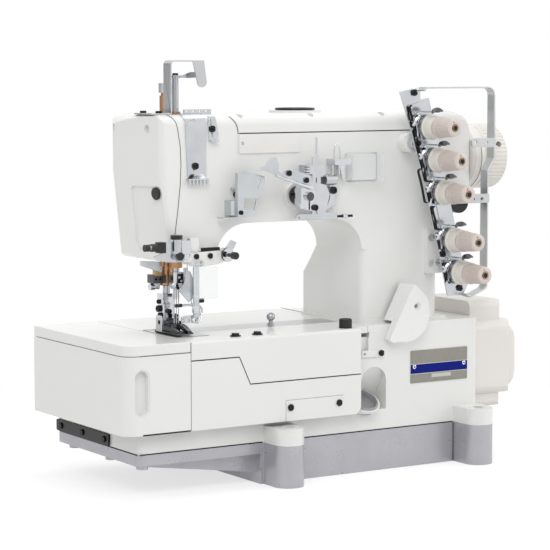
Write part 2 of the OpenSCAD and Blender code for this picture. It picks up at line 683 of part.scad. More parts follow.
bush_x = belt_x - 28;
window_x = -64;
window_y = -28;
window_d = 45;
module top_cover() color(white) difference() {
    union() {
        intersection() {
            along_y(arm_front_y, arm_rear_y) intersection() {
                cover_outline(-seam / 2);
                arm_outline();
            }
            along_x(face_left_x, arm_right_x) arm_section(0);
        }
        rod_z(arm_top_z - 1, arm_top_z + 2.5, window_x, window_y, window_d + 14);
    }
    // hollow underside
    block(cover_x0 + 14, cover_x1 - 14, arm_front_y + 16, arm_rear_y - 16, cover_seam_z - 1, arm_top_z - 6);
    rod_z(cover_seam_z, arm_top_z + 5, window_x, window_y, window_d - 9);
    rod_z(arm_top_z, arm_top_z + 5, window_x, window_y, window_d - 3);
    for (x = cover_screws, y = [arm_front_y + 7, arm_rear_y - 7])
        rod_z(arm_top_z - 7, arm_top_z + 1, x, y, 7.5);
}
cover_screws = [cover_x0 + 6, window_x - 5, 27];

module window_ring() color(black) translate([window_x, window_y, arm_top_z + 2.5])
    rotate_extrude($fn = 64) translate([window_d / 2 - 5, 0]) round_rect(0, 5, 0, 2.6, 0.8);

module window_glass() color([0.8, 0.85, 0.88, 0.5])
    rod_z(arm_top_z, arm_top_z + 2.5, window_x, window_y, window_d - 3.4);

// Outline of the face cover, shrunk all round by w
module face_outline(w) {
    bottom_r = 20;
    top_r = 20;
    polygon(concat(
        [for (p = seam_curve(face_seam_x - seam)) [p[0], min(max(p[1], head_bottom_z + w), arm_top_z - w)]],
        arc([face_left_x + top_r, arm_top_z - top_r], top_r - w, 90, 180, 6), [[face_left_x + w, taper_z]],
        arc([face_left_x + 8 + bottom_r, head_bottom_z + bottom_r], bottom_r - w, 180, 264, 8)));
}
// The left face leans in towards the front, and below taper_z also towards the bottom
face_slant = 10;
face_taper = 6;
taper_z = 345;
function slant_x(r, y) = face_left_x + (r + (arm_rear_y - y) * sin(face_slant)) / cos(face_slant);
module face_plan(w) {
    polygon(concat([[-200, arm_rear_y - w]],
        arc([slant_x(14, arm_rear_y - 14), arm_rear_y - 14], 14 - w, 90, 180 + face_slant, 10),
        arc([slant_x(8, arm_front_y + 8), arm_front_y + 8], 8 - w, 180 + face_slant, 270, 8),
        [[-200, arm_front_y + w]]));
}
module tapered() {
    translate([face_left_x, 0, taper_z]) rotate([0, -face_taper, 0]) translate([-face_left_x, 0, -taper_z])
        children();
}
module face_block(w) {
    intersection() {
        along_y(arm_front_y, arm_rear_y) face_outline(w);
        along_z(200, 420) face_plan(w);
        tapered() along_z(200, 420) face_plan(w);
    }
}
// Places children on the left face: x into it, y along it from its rear edge
module on_face() { translate([face_left_x, arm_rear_y, 0]) rotate([0, 0, face_slant]) children(); }

module face_cover() color(white) difference() {
    intersection() {
        face_block(0);
        along_x(face_left_x - 1, face_seam_x + 6) arm_section(0);
    }
    face_block(6);
    // sunken panel and plug hole on the tapered part
    tapered() on_face() {
        along_x(-1, 2) round_rect(-92, -40, head_bottom_z + 10, 328, 6);
        rod_x(-1, 7, -82, plug_z, 8);
    }
    // sunk screw holes
    for (p = face_holes) on_face() rod_x(-1, 4, p[0], p[1], 9);
}
face_holes = [[-12, 391], [-71, 391]];

plug_z = 320;
module face_plug() color(black) tapered() on_face() {
    rod_x(-1, 2, -82, plug_z, 13.5);
    rod_x(2 - eps, 7, -82, plug_z, 8);
}

badge_x0 = -166;
module badge_plate() color(white) difference() {
    along_y(arm_front_y - 1.6, arm_front_y) round_rect(badge_x0, badge_x0 + 79, 363, cover_seam_z - 1, 2);
    rod_y(arm_front_y - 3, arm_front_y + 1, badge_x0 + 4, 374.5, 2.6);
}

name_x0 = 50.5;
name_w = 80.5;
name_z = 96;
name_h = 37.5;
module name_plate() color([0.68, 0.67, 0.65]) difference() {
    block(name_x0, name_x0 + name_w, base_front_y - 1, base_front_y, name_z, name_z + name_h);
    for (x = [name_x0 + 5, name_x0 + name_w - 5])
        rod_y(base_front_y - 2, base_front_y + 1, x, name_z + name_h / 2, 2.6);
}

// Deep rounded cover over the feed adjustment, hung on one screw
feed_pivot = [51, 186];
feed_face_y = -107;
module feed_outline(w) {
    polygon(concat(arc([36.3, 178.5], 32.4 - w, 52, -104, 18), [[19 + w / 2, 146 + w], [13 + w, 149.6 + w / 2],
        [45.4 + 0.9 * w, 209.6 - w], [47.6, 211 - w], [49.6 - w / 2, 210.4 - w]]));
}
module feed_cover() color(white) difference() {
    union() {
        difference() {
            along_y(feed_face_y, arm_front_y - 5.4) feed_outline(0);
            along_y(feed_face_y + 3, arm_front_y) feed_outline(3);
            // the lower part stops at the front wall of the bed
            block(-60, 120, base_front_y - 0.4, arm_front_y, 100, bed_z + 3.4);
            // and its right flank keeps clear of the bed as it turns
            difference() {
                block(feed_pivot[0], 120, base_front_y - 0.4, arm_front_y, 100, feed_pivot[1] + 6);
                rod_y(base_front_y - 1, arm_front_y + 1, feed_pivot[0], feed_pivot[1],
                    2 * (feed_pivot[1] - bed_z - 0.8));
            }
        }
        rod_y(feed_face_y + 1, base_front_y + 2, feed_pivot[0], feed_pivot[1], 12);
    }
    rod_y(feed_face_y - 1, arm_front_y, feed_pivot[0], feed_pivot[1], 5 + 2 * run_fit);
    rod_y(feed_face_y - 1, feed_face_y + 2, feed_pivot[0], feed_pivot[1], 9);
}

// ---------- drive ----------

module upper_shaft() color(steel) {
    difference() {
        rod_x(-212, wheel_right_x - 6, needle_y, shaft_z, shaft_d);
        rod_x(wheel_right_x - 12, wheel_right_x, needle_y, shaft_z, 6);
    }
    // crank web and pin behind the needle bar's slider
    rod_x(-217, -212 + eps, needle_y, shaft_z, 40);
}

module handwheel() color(cream) difference() {
    translate([arm_right_x + 1, needle_y, shaft_z]) rotate([0, 90, 0]) rotate_extrude($fn = 96)
        polygon(concat([[shaft_d / 2, 0], [wheel_d / 2 - 3, 0], [wheel_d / 2, 3], [wheel_d / 2, 16],
            [wheel_d / 2 - 1, 16.6], [wheel_d / 2 + 0.5, 18]],
            arc([wheel_d / 2 - 5.5, wheel_right_x - arm_right_x - 7], 6, 0, 90, 6),
            [[wheel_d / 2 - 12, wheel_right_x - arm_right_x - 1],
            [wheel_d / 2 - 14, wheel_right_x - arm_right_x - 12], [shaft_d / 2, wheel_right_x - arm_right_x - 12]]));
    // grip flutes round the rim
    for (a = [0:7.5:359]) translate([arm_right_x + 21, needle_y, shaft_z]) rotate([a, 0, 0])
        translate([0, 0, wheel_d / 2 + 1.2]) rotate([0, 90, 0]) cylinder(h = 26, r = 1.6, $fn = 16);
    // set screw hole
    translate([arm_right_x + 10, needle_y, shaft_z]) rotate([63, 0, 0])
        cylinder(h = 60, d = 6, $fn = 24);
}

module lower_shaft() color(steel) {
    rod_x(needle_x + 12, base_right_x + 30, lower_y, lower_z, shaft_d);
    // eccentric for the looper drive
    rod_x(-150, -138, lower_y + 3, lower_z, 30);
    pulley(lower_y, lower_z);
}

// Toothed pulley with one flange on each side
module pulley(y, z) {
    rod_x(belt_x - 7, belt_x + 7, y, z, pulley_d - 1);
    for (x = [belt_x - 9, belt_x + 7]) rod_x(x, x + 2, y, z, pulley_d + 4);
}

module upper_pulley() color(steel) difference() {
    pulley(needle_y, shaft_z);
    rod_x(belt_x - 20, belt_x + 20, needle_y, shaft_z, shaft_d);
}

// Belt round both pulleys
module belt_loop(r) {
    hull() {
        translate([needle_y, shaft_z]) circle(r, $fn = 64);
        translate([lower_y, lower_z]) circle(r, $fn = 64);
    }
}
module timing_belt() color(black) along_x(belt_x - 6, belt_x + 6) difference() {
    belt_loop(pulley_d / 2 + 2);
    belt_loop(pulley_d / 2);
}

// Block on the right end of the bed with rounded edges
module end_block(x1, y0, y1, z0, z1, r) {
    intersection() {
        along_x(base_right_x + seam, x1) round_rect(y0, y1, z0, z1, r);
        along_z(z0 - 1, z1 + 1) round_rect(base_right_x - 20, x1, y0, y1, r * 0.6);
    }
}
module motor_housing() color(cream) difference() {
    union() {
        end_block(base_right_x + 47, lower_y - 49, lower_y + 49, 56, 183, 8);
        end_block(base_right_x + 55.5, lower_y - 58, lower_y + 58, 72, 160, 12);
        // bowed end cap
        intersection() {
            end_block(base_right_x + 70, lower_y - 52, lower_y + 52, 76, 156, 14);
            rod_y(lower_y - 60, lower_y + 60, base_right_x + 4, 116, 132);
        }
    }
    rod_x(base_right_x, base_right_x + 34, lower_y, lower_z, shaft_d + 2 * run_fit);
}

module bush(z0, z1, y, d_in, d_out) difference() {
    rod_z(z0, z1, needle_x, y, d_out);
    rod_z(z0 - 1, z1 + 1, needle_x, y, d_in + 2 * run_fit);
}

bush_drop = 29.4;
bush_d = 14.6;
module bronze_bushes() color(brass) {
    bush(arm_top_z - 24, arm_top_z + 3, needle_y, needle_bar_d, needle_bar_d + 4);
    bush(head_bottom_z - 8.5, head_bottom_z + 26, needle_y, needle_bar_d, needle_bar_d + 4);
    bush(head_bottom_z - 8.5, head_bottom_z, needle_y, needle_bar_d, 14);
    bush(head_bottom_z - bush_drop, head_bottom_z, presser_y, presser_bar_d, bush_d);
    bush(arm_top_z - 24, arm_top_z + 1, presser_y, presser_bar_d, presser_bar_d + 4);
    bush(head_bottom_z - 1, head_bottom_z + 26, presser_y, presser_bar_d, presser_bar_d + 4);
    for (x = [cover_x0 + 3.5, bush_x]) difference() {
        rod_x(x, x + 8.5, needle_y, shaft_z, 24);
        rod_x(x - 1, x + 10, needle_y, shaft_z, shaft_d + 2 * run_fit);
    }
}

// ---------- needle head ----------

needle_top_z = 448;
clamp_top_z = 235;
clamp_h = 19;
needle_tip_z = 181;

module needle_bar() color(steel) {
    rod_z(clamp_top_z - 3, needle_top_z, needle_x, needle_y, needle_bar_d);
    // take-up flag clamped on the top end
    rod_z(needle_top_z - 3, needle_top_z, needle_x, needle_y, 12);
    sheet(needle_y - 4.8, 1.4, [[-227, 445.4], [-216, 445], [-204.5, 445.5], [-204.5, 451.5], [-213, 451.5],
        [-224, 447.6], [-227, 447.6]]);
    rod_z(needle_top_z - eps, needle_top_z + 2.4, needle_x, needle_y, 6.4);
}

module needle_clamp() color(steel) difference() {
    clamp_z = clamp_top_z - clamp_h;
    intersection() {
        along_z(clamp_z, clamp_top_z) round_rect(needle_x - 6.5, needle_x + 7.5, needle_y - 7.5, needle_y + 5, 2);
        along_y(needle_y - 8, needle_y + 6) translate([needle_x, clamp_z]) polygon([[-6.5, 30], [-6.5, 5],
            [-3.5, 0], [4.5, 0], [7.5, 5], [7.5, 30]]);
    }
    rod_z(clamp_top_z - 3, clamp_top_z + 1, needle_x, needle_y, needle_bar_d);
    for (i = [-1:1]) rod_z(clamp_z - 1, clamp_top_z - 6, needle_x + i * needle_gauge, needle_y, 2);
    // front recess and clamp screw holes
    block(needle_x - 3, needle_x + 5, needle_y - 8, needle_y - 6.7, clamp_z + 7, clamp_z + 17);
    for (x = [-2.5, 3.7]) rod_y(needle_y - 8, needle_y - 4, needle_x + x, clamp_z + 4.4, 2.6);
}

module needles() color(steel) for (i = [-1:1]) {
    translate([needle_x + i * needle_gauge, needle_y, needle_tip_z]) rotate_extrude($fn = 24)
        polygon([[0, -9 + abs(i)], [0.55, -2], [0.55, 22], [1, 26], [1, clamp_top_z - 6 - needle_tip_z], [0, clamp_top_z - 6 - needle_tip_z]]);
}

presser_top_z = arm_top_z - 8;
module presser_bar() color(steel) {
    rod_z(foot_z + 16, presser_top_z, needle_x, presser_y, presser_bar_d);
    // bar block and guide
    along_z(foot_z + 31, foot_z + 42) difference() {
        round_rect(needle_x - 9, needle_x + 6, presser_y - 6, presser_y + 6, 2);
        translate([needle_x, presser_y]) circle(presser_bar_d / 2 - eps);
    }
}

foot_z = bed_z + 1.2;
module presser_foot() color(steel) {
    // shank clamped to the bar
    difference() {
        union() {
            along_z(foot_z + 12, foot_z + 30.7) round_rect(needle_x - 8, needle_x + 6,
                presser_y - 6.5, presser_y + 6, 2);
            block(needle_x - 8, needle_x + 6, presser_y - 14, presser_y + 4, foot_z + 7, foot_z + 16);
        }
        rod_z(foot_z + 16, foot_z + 40, needle_x, presser_y, presser_bar_d);
    }
    // sole with its needle opening, toes towards the front
    along_z(foot_z, foot_z + 2) difference() {
        union() {
            round_rect(needle_x - 11, needle_x + 11, needle_y - 12, needle_y + 30, 2);
            translate([needle_x - 11, needle_y - 20]) square([8, 12]);
            translate([needle_x + 4, needle_y - 18]) square([7, 12]);
        }
        translate([needle_x - 6, needle_y - 5]) square([12, 10]);
    }
    along_x(needle_x - 9, needle_x + 8) polygon([[needle_y + 5.4, foot_z + 1], [needle_y + 20, foot_z + 1],
        [needle_y + 14, foot_z + 9], [needle_y + 8, foot_z + 9]]);
}

module pressure_screw() color(brass) difference() {
    union() {
        rod_z(arm_top_z + 1.3, arm_top_z + 20, needle_x, presser_y, 13);
        rod_z(arm_top_z + 19, arm_top_z + 24, needle_x, presser_y, 10);
        rod_z(arm_top_z + 23, arm_top_z + 33.5, needle_x, presser_y, 15);
    }
    rod_z(arm_top_z, arm_top_z + 18, needle_x, presser_y, presser_bar_d + 1);
    rod_z(arm_top_z + 31, arm_top_z + 34, needle_x, presser_y, 5);
}

guard_t = 1.6;
guard_y0 = -62;
guard_y1 = -46;
guard_top_z = 463.5;
guard_x = needle_x - 14;
module top_guard() color(steel) difference() {
    union() {
        // base plate on the head
        along_z(arm_top_z, arm_top_z + guard_t) round_rect(guard_x - 24, guard_x + guard_t, guard_y0, guard_y1 + 26, 3);
        // upright, top and front tongue
        bent_strip(concat([[guard_x, arm_top_z + 1]], arc([guard_x + 4, guard_top_z - 4], 4, 180, 90, 4),
            [[guard_x + 41, guard_top_z]]), guard_t, guard_y0, guard_y1);
        along_y(guard_y0, guard_y0 + guard_t) translate([guard_x, guard_top_z]) {
            polygon([[26.5, 0.4], [41, 0.4], [44.2, -22], [32.4, -22.5]]);
            translate([38.3, -22.5]) circle(6);
        }
    }
    for (p = guard_screws) rod_z(arm_top_z - 1, arm_top_z + 3, p[0], p[1], 4);
}
guard_screws = [[guard_x - 18, guard_y0 + 30], [guard_x - 10, guard_y0 + 10]];

// Section of a sheet bent over the arm's rounded front edge
edge_y = arm_front_y + arm_edge_r;
edge_z = arm_top_z - arm_edge_r;
module over_edge(t, z0, y1) {
    difference() {
        union() {
            intersection() {
                translate([edge_y, edge_z]) circle(arm_edge_r + t);
                translate([arm_front_y - t, edge_z]) square(arm_edge_r + t);
            }
            translate([arm_front_y - t, z0]) square([t + 1, edge_z - z0 + eps]);
            translate([edge_y - eps, arm_top_z - 1]) square([y1 - edge_y, 1 + t]);
        }
        translate([edge_y, edge_z]) circle(arm_edge_r);
        translate([arm_front_y, z0 - 1]) square([arm_edge_r, edge_z - z0 + 1]);
        translate([edge_y - eps, edge_z]) square([30, arm_edge_r]);
    }
}
module head_guide() color(steel) difference() {
    union() {
        intersection() {
            along_x(-240, -200) over_edge(1.4, 336, edge_y + 4);
            sheet(-80, 30, [[-233.5, 410], [-233.5, 397], [-232, 368], [-230.8, 336], [-208, 336],
                [-207.5, 378], [-206, 410]]);
        }
        // comb along its foot
        block(-232, -208, arm_front_y - 6, arm_front_y, 336, 337.6);
        for (i = [0:5]) block(-231.6 + i * 4.4, -229.4 + i * 4.4, arm_front_y - 6, arm_front_y - 4.6, 331, 337);
        // flange standing on the arm
        block(-233.5, -193, edge_y + 0.2, edge_y + 4, arm_top_z, arm_top_z + 1.4);
        block(-227, -193, edge_y + 0.2, edge_y + 1.6, arm_top_z, arm_top_z + 5.5);
        // slotted bracket beside it
        sheet(arm_front_y - 1.6, 1.6, [[-205.4, 404], [-204, 378.5], [-193.5, 378.5], [-192.6, 386],
            [-196.5, 404]]);
        block(-204, -193.6, arm_front_y - 6, arm_front_y, 377, 378.6);
    }
    // slots and eyelets
    sheet(-80, 20, [[-232, 394.6], [-220.4, 399.4], [-221.2, 401.8], [-232, 397]]);
    sheet(-80, 20, [[-204.4, 402], [-201.2, 381.6], [-199, 382], [-202.2, 402.4]]);
    for (x = [-223, -215, -207, -199]) rod_y(-70, -50, x, arm_top_z + 3.4, 2.4);
    rod_y(arm_front_y - 5, arm_front_y + 1, -221.5, 351, 4);
}

// ---------- take-up and thread guides on the arm ----------

module thread_bracket() color(steel) difference() {
    union() {
        // folded frame of the needle thread guide
        sheet(-91.6, 1.6, [[-176.5, 344], [-170.7, 345], [-143.7, 338.7], [-143.7, 329], [-144.4, 322],
            [-152.5, 314.6], [-157, 296], [-178, 294.3], [-178, 343]]);
        block(-178, -176.4, -91.6, arm_front_y, 294.3, 313);
        block(-178, -176.4, -91.6, -86, 312, 343);
        block(-196.3, -176.4, -92, arm_front_y - 4, 293.8, 295.4);
        block(-184.3, -177, -88, arm_front_y, 297, 313);
        block(-177, -163, -91, arm_front_y, 325, 326.6);
        // long lower plate with its eyelet and tip
        sheet(-86, 1.6, [[-99, 294.7], [-44, 295.2], [-44, 288.2], [-96, 288.9]]);
        rod_y(-87.5, -84.4, -96.6, 291.8, 6.4);
        block(-45, -24, -86.4, -84, 289.5, 292.2);
        block(-70, -58, -85, arm_front_y, 289, 294.5);
        // upright strips with their comb and spacer
        sheet(-90, 1.6, [[-80.6, 295], [-76, 295], [-76, 359], [-80.6, 359]]);
        block(-88, -79, -90, arm_front_y, 339, 349);
        sheet(-86, 1.6, [[-74.8, 335], [-69.5, 335], [-69.5, 359], [-71.6, 362], [-71.6, 380], [-72.9, 380], [-72.9, 362],
            [-74.8, 359]]);
        block(-73.4, -60, -85, arm_front_y, 335.5, 348);
        block(-70.7, -65.4, -84, arm_front_y, 328, 336);
        // roller, cam plate and finger plate
        rod_x(-61, -46.4, -84, 332, 12);
        block(-58, -50, -80, arm_front_y, 328, 336);
        sheet(-86, 2, [[-74.7, 329.6], [-59.5, 326.6], [-54.8, 316], [-61, 293], [-70, 293], [-74.7, 304]]);
        sheet(-82, 1.6, [[-52, 328.8], [-39, 323], [-46, 310.6], [-46, 303], [-58, 298], [-52, 310.8]]);
        rod_y(-81, arm_front_y, -48, 320, 6);
        // pin block and its cheek
        block(-52, -30, -92, arm_front_y, 348.5, 355);
        for (x = [-50.5, -42]) rod_z(337.5, 349, x, -85, 2.4);
        sheet(-82, 1.6, [[-38.4, 345], [-38.4, 350], [-30.7, 353.8], [-30.6, 329.4], [-35.3, 332]]);
    }
    sheet(-94, 6, [[-169.3, 315], [-154, 314.7], [-157, 302], [-170.8, 302.8]]);
    sheet(-94, 6, [[-150, 336.5], [-148, 334], [-153, 325], [-155.4, 326.6]]);
    rod_y(-90, -80, -96.6, 291.8, 3.6);
    for (z = [341, 344, 347]) block(-89, -84, -91, -84, z - 0.5, z + 0.5);
}

take_up_pivot = [-96.5, 316];
module take_up() color(steel) {
    rod_y(-110.6, arm_front_y + 10, take_up_pivot[0], take_up_pivot[1], 10);
    // collar with its set screw
    rod_y(-95, arm_front_y - 9.4, take_up_pivot[0], take_up_pivot[1], 21);
    rod_x(take_up_pivot[0] - 13, take_up_pivot[0] - 8, -89, take_up_pivot[1] + 2, 4);
    // split clamp on the shaft
    along_y(-107, -94) difference() {
        translate(take_up_pivot) union() {
            circle(9.5);
            polygon([[-10, 8], [-1.8, 9], [5.7, 6], [5.7, -2.6], [8, -10.3], [5.7, -16.5], [-3.3, -15],
                [-10, -8.4]]);
            polygon([[-9.5, 4], [-7.5, 18], [4.5, 16], [8.5, 2]]);
        }
        translate(take_up_pivot) polygon([[0, -18], [0, -4], [1.6, -4], [1.6, -18]]);
    }
    // lever sheet with its screws and wire
    sheet(-108.6, 1.7, [[-165.3, 345.6], [-152.2, 352], [-146.3, 360], [-139, 360.4], [-135.8, 352.9],
        [-136.4, 345.4], [-130.2, 341.2], [-128.7, 345.2], [-122.8, 346.6], [-94.5, 338.7], [-92.2, 331.1],
        [-93.7, 327.4], [-122.8, 335.7], [-134.6, 339.8], [-139, 339.9], [-152.2, 345.2]]);
    for (p = [[-123.3, 342.1], [-101, 333.9]]) face_front(p[0], -108.6 + eps, p[1]) screw(6.4, 2, 0);
    translate([-140.9, -109.8, 340.1]) rotate([0, 108.4, 0]) cylinder(h = 50, d = 3);
}

module clear_cover() color([0.9, 0.93, 0.95, 0.4]) difference() {
    along_y(arm_front_y - 16, arm_front_y) round_rect(-27, 17.5, 328, 361, 3);
    along_y(arm_front_y - 14, arm_front_y + 1) round_rect(-25, 15.5, 330, 359, 2);
}

module spreader_bracket() color(white) difference() {
    union() {
        // arm plate below the head, with its round end and mounting block
        sheet(-88, 8, [[-243, 258.6], [-220, 259.3], [-198.5, 260], [-192.3, 248], [-199.6, 245],
            [-221.4, 243.3], [-234.7, 248.4], [-243, 249.7]]);
        rod_y(-88, -80, -190, 255, 14);
        block(-232, -200, -81, -66, 245, head_bottom_z);
        block(-225, -200, -81, arm_front_y, 247, 258);
        sheet(-86, 1.6, [[-183, 270.5], [-175.8, 267.5], [-180, 260.5], [-186, 255], [-194.6, 256]]);
        block(-220, -198, -87.4, -84, 258, 263.5);
        rod_y(-90, -87, -240.6, 254.8, 6);
        // ears and pin of the eye guard
        for (x = [-234, -223.4]) block(x, x + 2.4, eye_pivot[0] - 1.6, -82, eye_pivot[1] - 2, eye_pivot[1] + 4);
        rod_x(-234, -221, eye_pivot[0], eye_pivot[1], 2);
        // post block with its capped pin and folded plate
        block(-254.5, -235.6, -90, -78, 257.5, 272.5);
        rod_z(259, 274, -251, -86, 12);
        rod_z(273.9, 278.4, -251, -86, 13);
        rod_y(-93, -80, -250, 256, 9);
        block(-237, -223, -85.6, -84, 256, 274.5);
        block(-237, -235.4, -90, -84, 256, 274.5);
        // thread nipper with its two knobs
        sheet(-86, 1.6, [[-279, 256.5], [-268, 260], [-265, 271], [-252, 271], [-252, 249.5], [-275, 252]]);
        block(-276, -267.5, -93, -84, 260.5, 272);
        rod_x(-292, -286, -89, 266.4, 7.5);
        rod_x(-287, -275, -89, 266.4, 5);
        rod_x(-284, -275, -89, 266.4, 8.5);
        // cutter plate held on the presser bush
        sheet(-34, 4, [[-265, 247.4], [-241, 245.4], [-239, 241.7], [-240.3, 233.5], [-265, 242]]);
        block(-247.8, -238, -33, -27, 230, 238);
        block(-249, needle_x - 3, presser_y - 7, presser_y + 7, 221.5, 230.8);
        block(-246, -240, presser_y - 3, presser_y + 3, 216, 222);
        rod_x(-250, -244.5, presser_y, 217.5, 7.5);
        rod_x(-245, -238.6, presser_y, 217.5, 6);
        // spreader on its post
        sheet(-62, 1.6, [[-226, 237.5], [-220, 236], [-217, 228.5], [-214, 215.7], [-217, 206.7],
            [-222, 202.5], [-234.5, 215.8], [-228, 223.6]]);
        rod_z(186, head_bottom_z, -215, -65, 7);
        rod_z(191, 199, -215, -65, 9);
        rod_x(-213, -206, -65, 204, 5);
        rod_x(-241, -213, -65, 200, 2.5);
        for (x = [-241, -236]) rod_x(x, x + 3, -65, 200, 4);
        block(-228.6, -211, -63, -61.6, 180, 188);
    }
    rod_z(210, 250, needle_x, presser_y, bush_d);
    for (x = [-245.5, -240.5]) rod_y(presser_y - 8, presser_y, x, 226, 2.6);
    for (x = [-225.6, -220.9, -216.2]) block(x, x + 1.6, -64, -61, 179, 185);
}

// Hinge pin of the clear eye guard
eye_pivot = [-90.6, 246];
module eye_guard() color([0.92, 0.94, 0.96, 0.35]) difference() {
    union() {
        along_y(eye_pivot[0] - 0.8, eye_pivot[0] + 0.8) {
            round_rect(-232, -203.5, 208.5, eye_pivot[1] - 2.8, 2);
            translate([-231, eye_pivot[1] - 6]) square([7, 6]);
        }
        rod_x(-231, -224, eye_pivot[0], eye_pivot[1], 5);
    }
    rod_x(-240, -220, eye_pivot[0], eye_pivot[1], 2 + 2 * run_fit);
}

module thread_tension() color(steel) face_front(-190, -88, 255) rotate_extrude()
    polygon([[0, 0], [7.5, 0], [7.5, 1], [3, 2], [7.5, 3], [7.5, 4], [2.2, 4.4], [2.2, 14], [4, 14], [4, 20],
        [0, 20]]);

// ---------- tension rack ----------

module tension_plate() color(steel) difference() {
    union() {
        along_y(rack_y, rack_y + 1.8) on_rack_2d([[-26.6, 48.5], [2.7, 46], [-0.7, 33], [11, 31], [11, -184],
            [14, -190], [1.3, -202.4], [-19.6, -196], [-19, -143], [-19.7, -46], [-22.6, 8]]);
        // narrow strip on its front
        along_y(rack_y - 1.4, rack_y + eps) on_rack_2d([[-19, 30.5], [3.7, 30.9], [4, -182], [-9, -182],
            [-10.6, 17], [-19, 27]]);
        // spacers to the arm and to the pad on the column
        rod_y(rack_y + 1.7, arm_front_y - 12, 57, 371, 13);
        for (p = [[97.1, 262.7], [100.2, 231.7]]) rod_y(rack_y + 1.7, arm_front_y - 6, p[0], p[1], 9);
    }
    for (u = posts) on_rack(u, 0, rack_y) {
        rod_y(-1, 2.9, 0, 0, 6);
        rod_y(-3, 0, 0, 0, 11.4);
    }
}

// XZ outline given in the rack's own directions
module on_rack_2d(p) {
    polygon([for (q = p) [rack_x + q[0] * cos(rack_tilt) - q[1] * sin(rack_tilt),
        rack_z + q[0] * sin(rack_tilt) + q[1] * cos(rack_tilt)]]);
}

guard_right_x = 157;
module tension_guard() color(steel) {
    bent_strip(concat([[57.6, 430], [60, 433.5]], arc([guard_right_x - 9, 424.5], 9, 90, 0, 5),
        [[guard_right_x, 352], [guard_right_x - 9, 338], [guard_right_x - 9, 204],
        [guard_right_x - 12, 201], [125, 193], [119, 196]]), 1.8, rack_y - 13, rack_y);
    along_y(rack_y - 14.5, rack_y - 12) difference() {
        union() {
            round_rect(123, guard_right_x + 1.5, 365, 375.5, 5);
            round_rect(121.5, guard_right_x - 7.5, 301, 311.5, 1.5);
        }
        for (p = [[129, 370.9], [144.7, 370.3], [126.6, 305.8], [138.6, 305.9]]) translate(p) circle(2);
    }
}

module tension_posts() color(steel) for (u = posts) on_rack(u, 0, rack_y) {
    rod_y(-knob_len - 4, 1.8, 0, 0, 6);
    // pair of tension discs
    for (y = [-3.4, -5.6]) translate([0, y, 0]) rotate([90, 0, 0]) difference() {
        cylinder(h = 1.2, d = collar_d - 1);
        translate([0, 0, -1]) cylinder(h = 4, d = 6 - 2 * eps);
    }
    rod_y(-2, 0, 0, 0, 11);
}

module thread_fingers() color(steel) for (u = posts) on_rack(u, 0, rack_y) {
    along_y(-23.6, -1.4) translate([-2.5, 17.4]) square([1.6, 2.6]);
    sheet(-24.6, 1.4, [[-4.8, 20.9], [9.8, 16.9], [2.9, 14.6], [-0.8, 16.4]]);
    along_y(-12, 0) translate([-15, 16]) square([1.7, 2.6]);
    sheet(-12.6, 1.4, [[-28, 9], [-26, 8.4], [-24.4, 16], [-13.3, 16], [-13.3, 18.6], [-26, 20]]);
}

// Ribbed tension knob on its post, turning about an axis that faces the front
module tension_knob(u) {
    r0 = 3 + run_fit;
    color(cream) on_rack(u, 0, rack_y - 8) rotate([90, 0, 0]) difference() {
        rotate_extrude($fn = 64) polygon([[r0, 0], [collar_d / 2, 0], [collar_d / 2, 2.6], [collar_d / 2 - 1.4, 4],
            [cap_d / 2 + 2.4, 4.6], [cap_d / 2 + 1.8, knob_len * 0.42], [cap_d / 2 + 0.6, knob_len * 0.42],
            [cap_d / 2 + 0.6, knob_len * 0.45], [cap_d / 2 + 0.2, knob_len * 0.45], [cap_d / 2 - 0.8, knob_len - 6],
            [cap_d / 2 - 1.6, knob_len - 4.5], [r0, knob_len - 4.5]]);
        for (a = [0:30:359]) rotate(a) translate([cap_d / 2 + 0.9, 0, knob_len * 0.48])
            cylinder(h = knob_len, r = 1, $fn = 16);
    }
}
module tension_knob_1() tension_knob(posts[0]);
module tension_knob_2() tension_knob(posts[1]);
module tension_knob_3() tension_knob(posts[2]);
module tension_knob_4() tension_knob(posts[3]);
module tension_knob_5() tension_knob(posts[4]);

module rack_knob() color(black) {
    rod_y(-95, -80, 119.5, 301.5, 25);
    rod_y(-81, arm_front_y, 119.5, 301.5, 8);
}

module black_screws() color(black) {
    // pan end plate
    for (y = end_screws) face_left(base_left_x - 2.5, y, 54) {
        screw(7, 1.6, 0);
        translate([0, 0, -9]) cylinder(h = 9.1, d = 3.4);
    }
    // bed plate
    for (x = plate_screws) translate([x, bed_front_y + 15.5, bed_z]) {
        screw(8.4, 3.4, 0);
        cylinder(h = 1.2, d = 12);
        translate([0, 0, -6]) cylinder(h = 6.1, d = 4);
    }
    // cover latch
    face_front(latch_screw_x, base_front_y - 2, 134.5) {
        screw(7, 2, 0);
        translate([0, 0, -10]) cylinder(h = 10.1, d = 4);
    }
    // top guard
    for (p = guard_screws) translate([p[0], p[1], arm_top_z + guard_t]) screw(7, 2.4, 0);
    // head guide
    face_front(-221.5, arm_front_y - 1.4, 351) screw(7.4, 2.2, 0);
    face_front(-200.6, arm_front_y - 1.6, 390.5) screw(7.4, 2.2, 0);
    // spreader bracket and needle thread guide
    for (x = [-228, -210.8]) face_front(x, -88, 254.6) screw(6, 2, 0);
    face_front(-173.8, -91.6, 300) screw(5, 1.6, 0);
    face_front(-170, arm_front_y, 318.6) screw(7, 2, 0);
    // tension rack
    for (q = [[-7.8, 42.4], [-17.4, -14.4], [-14.7, -147], [-1.4, -192.5]])
        on_rack(-q[1], q[0], rack_y) rotate([90, 0, 0]) screw(7.4, 2.6, 0);
}

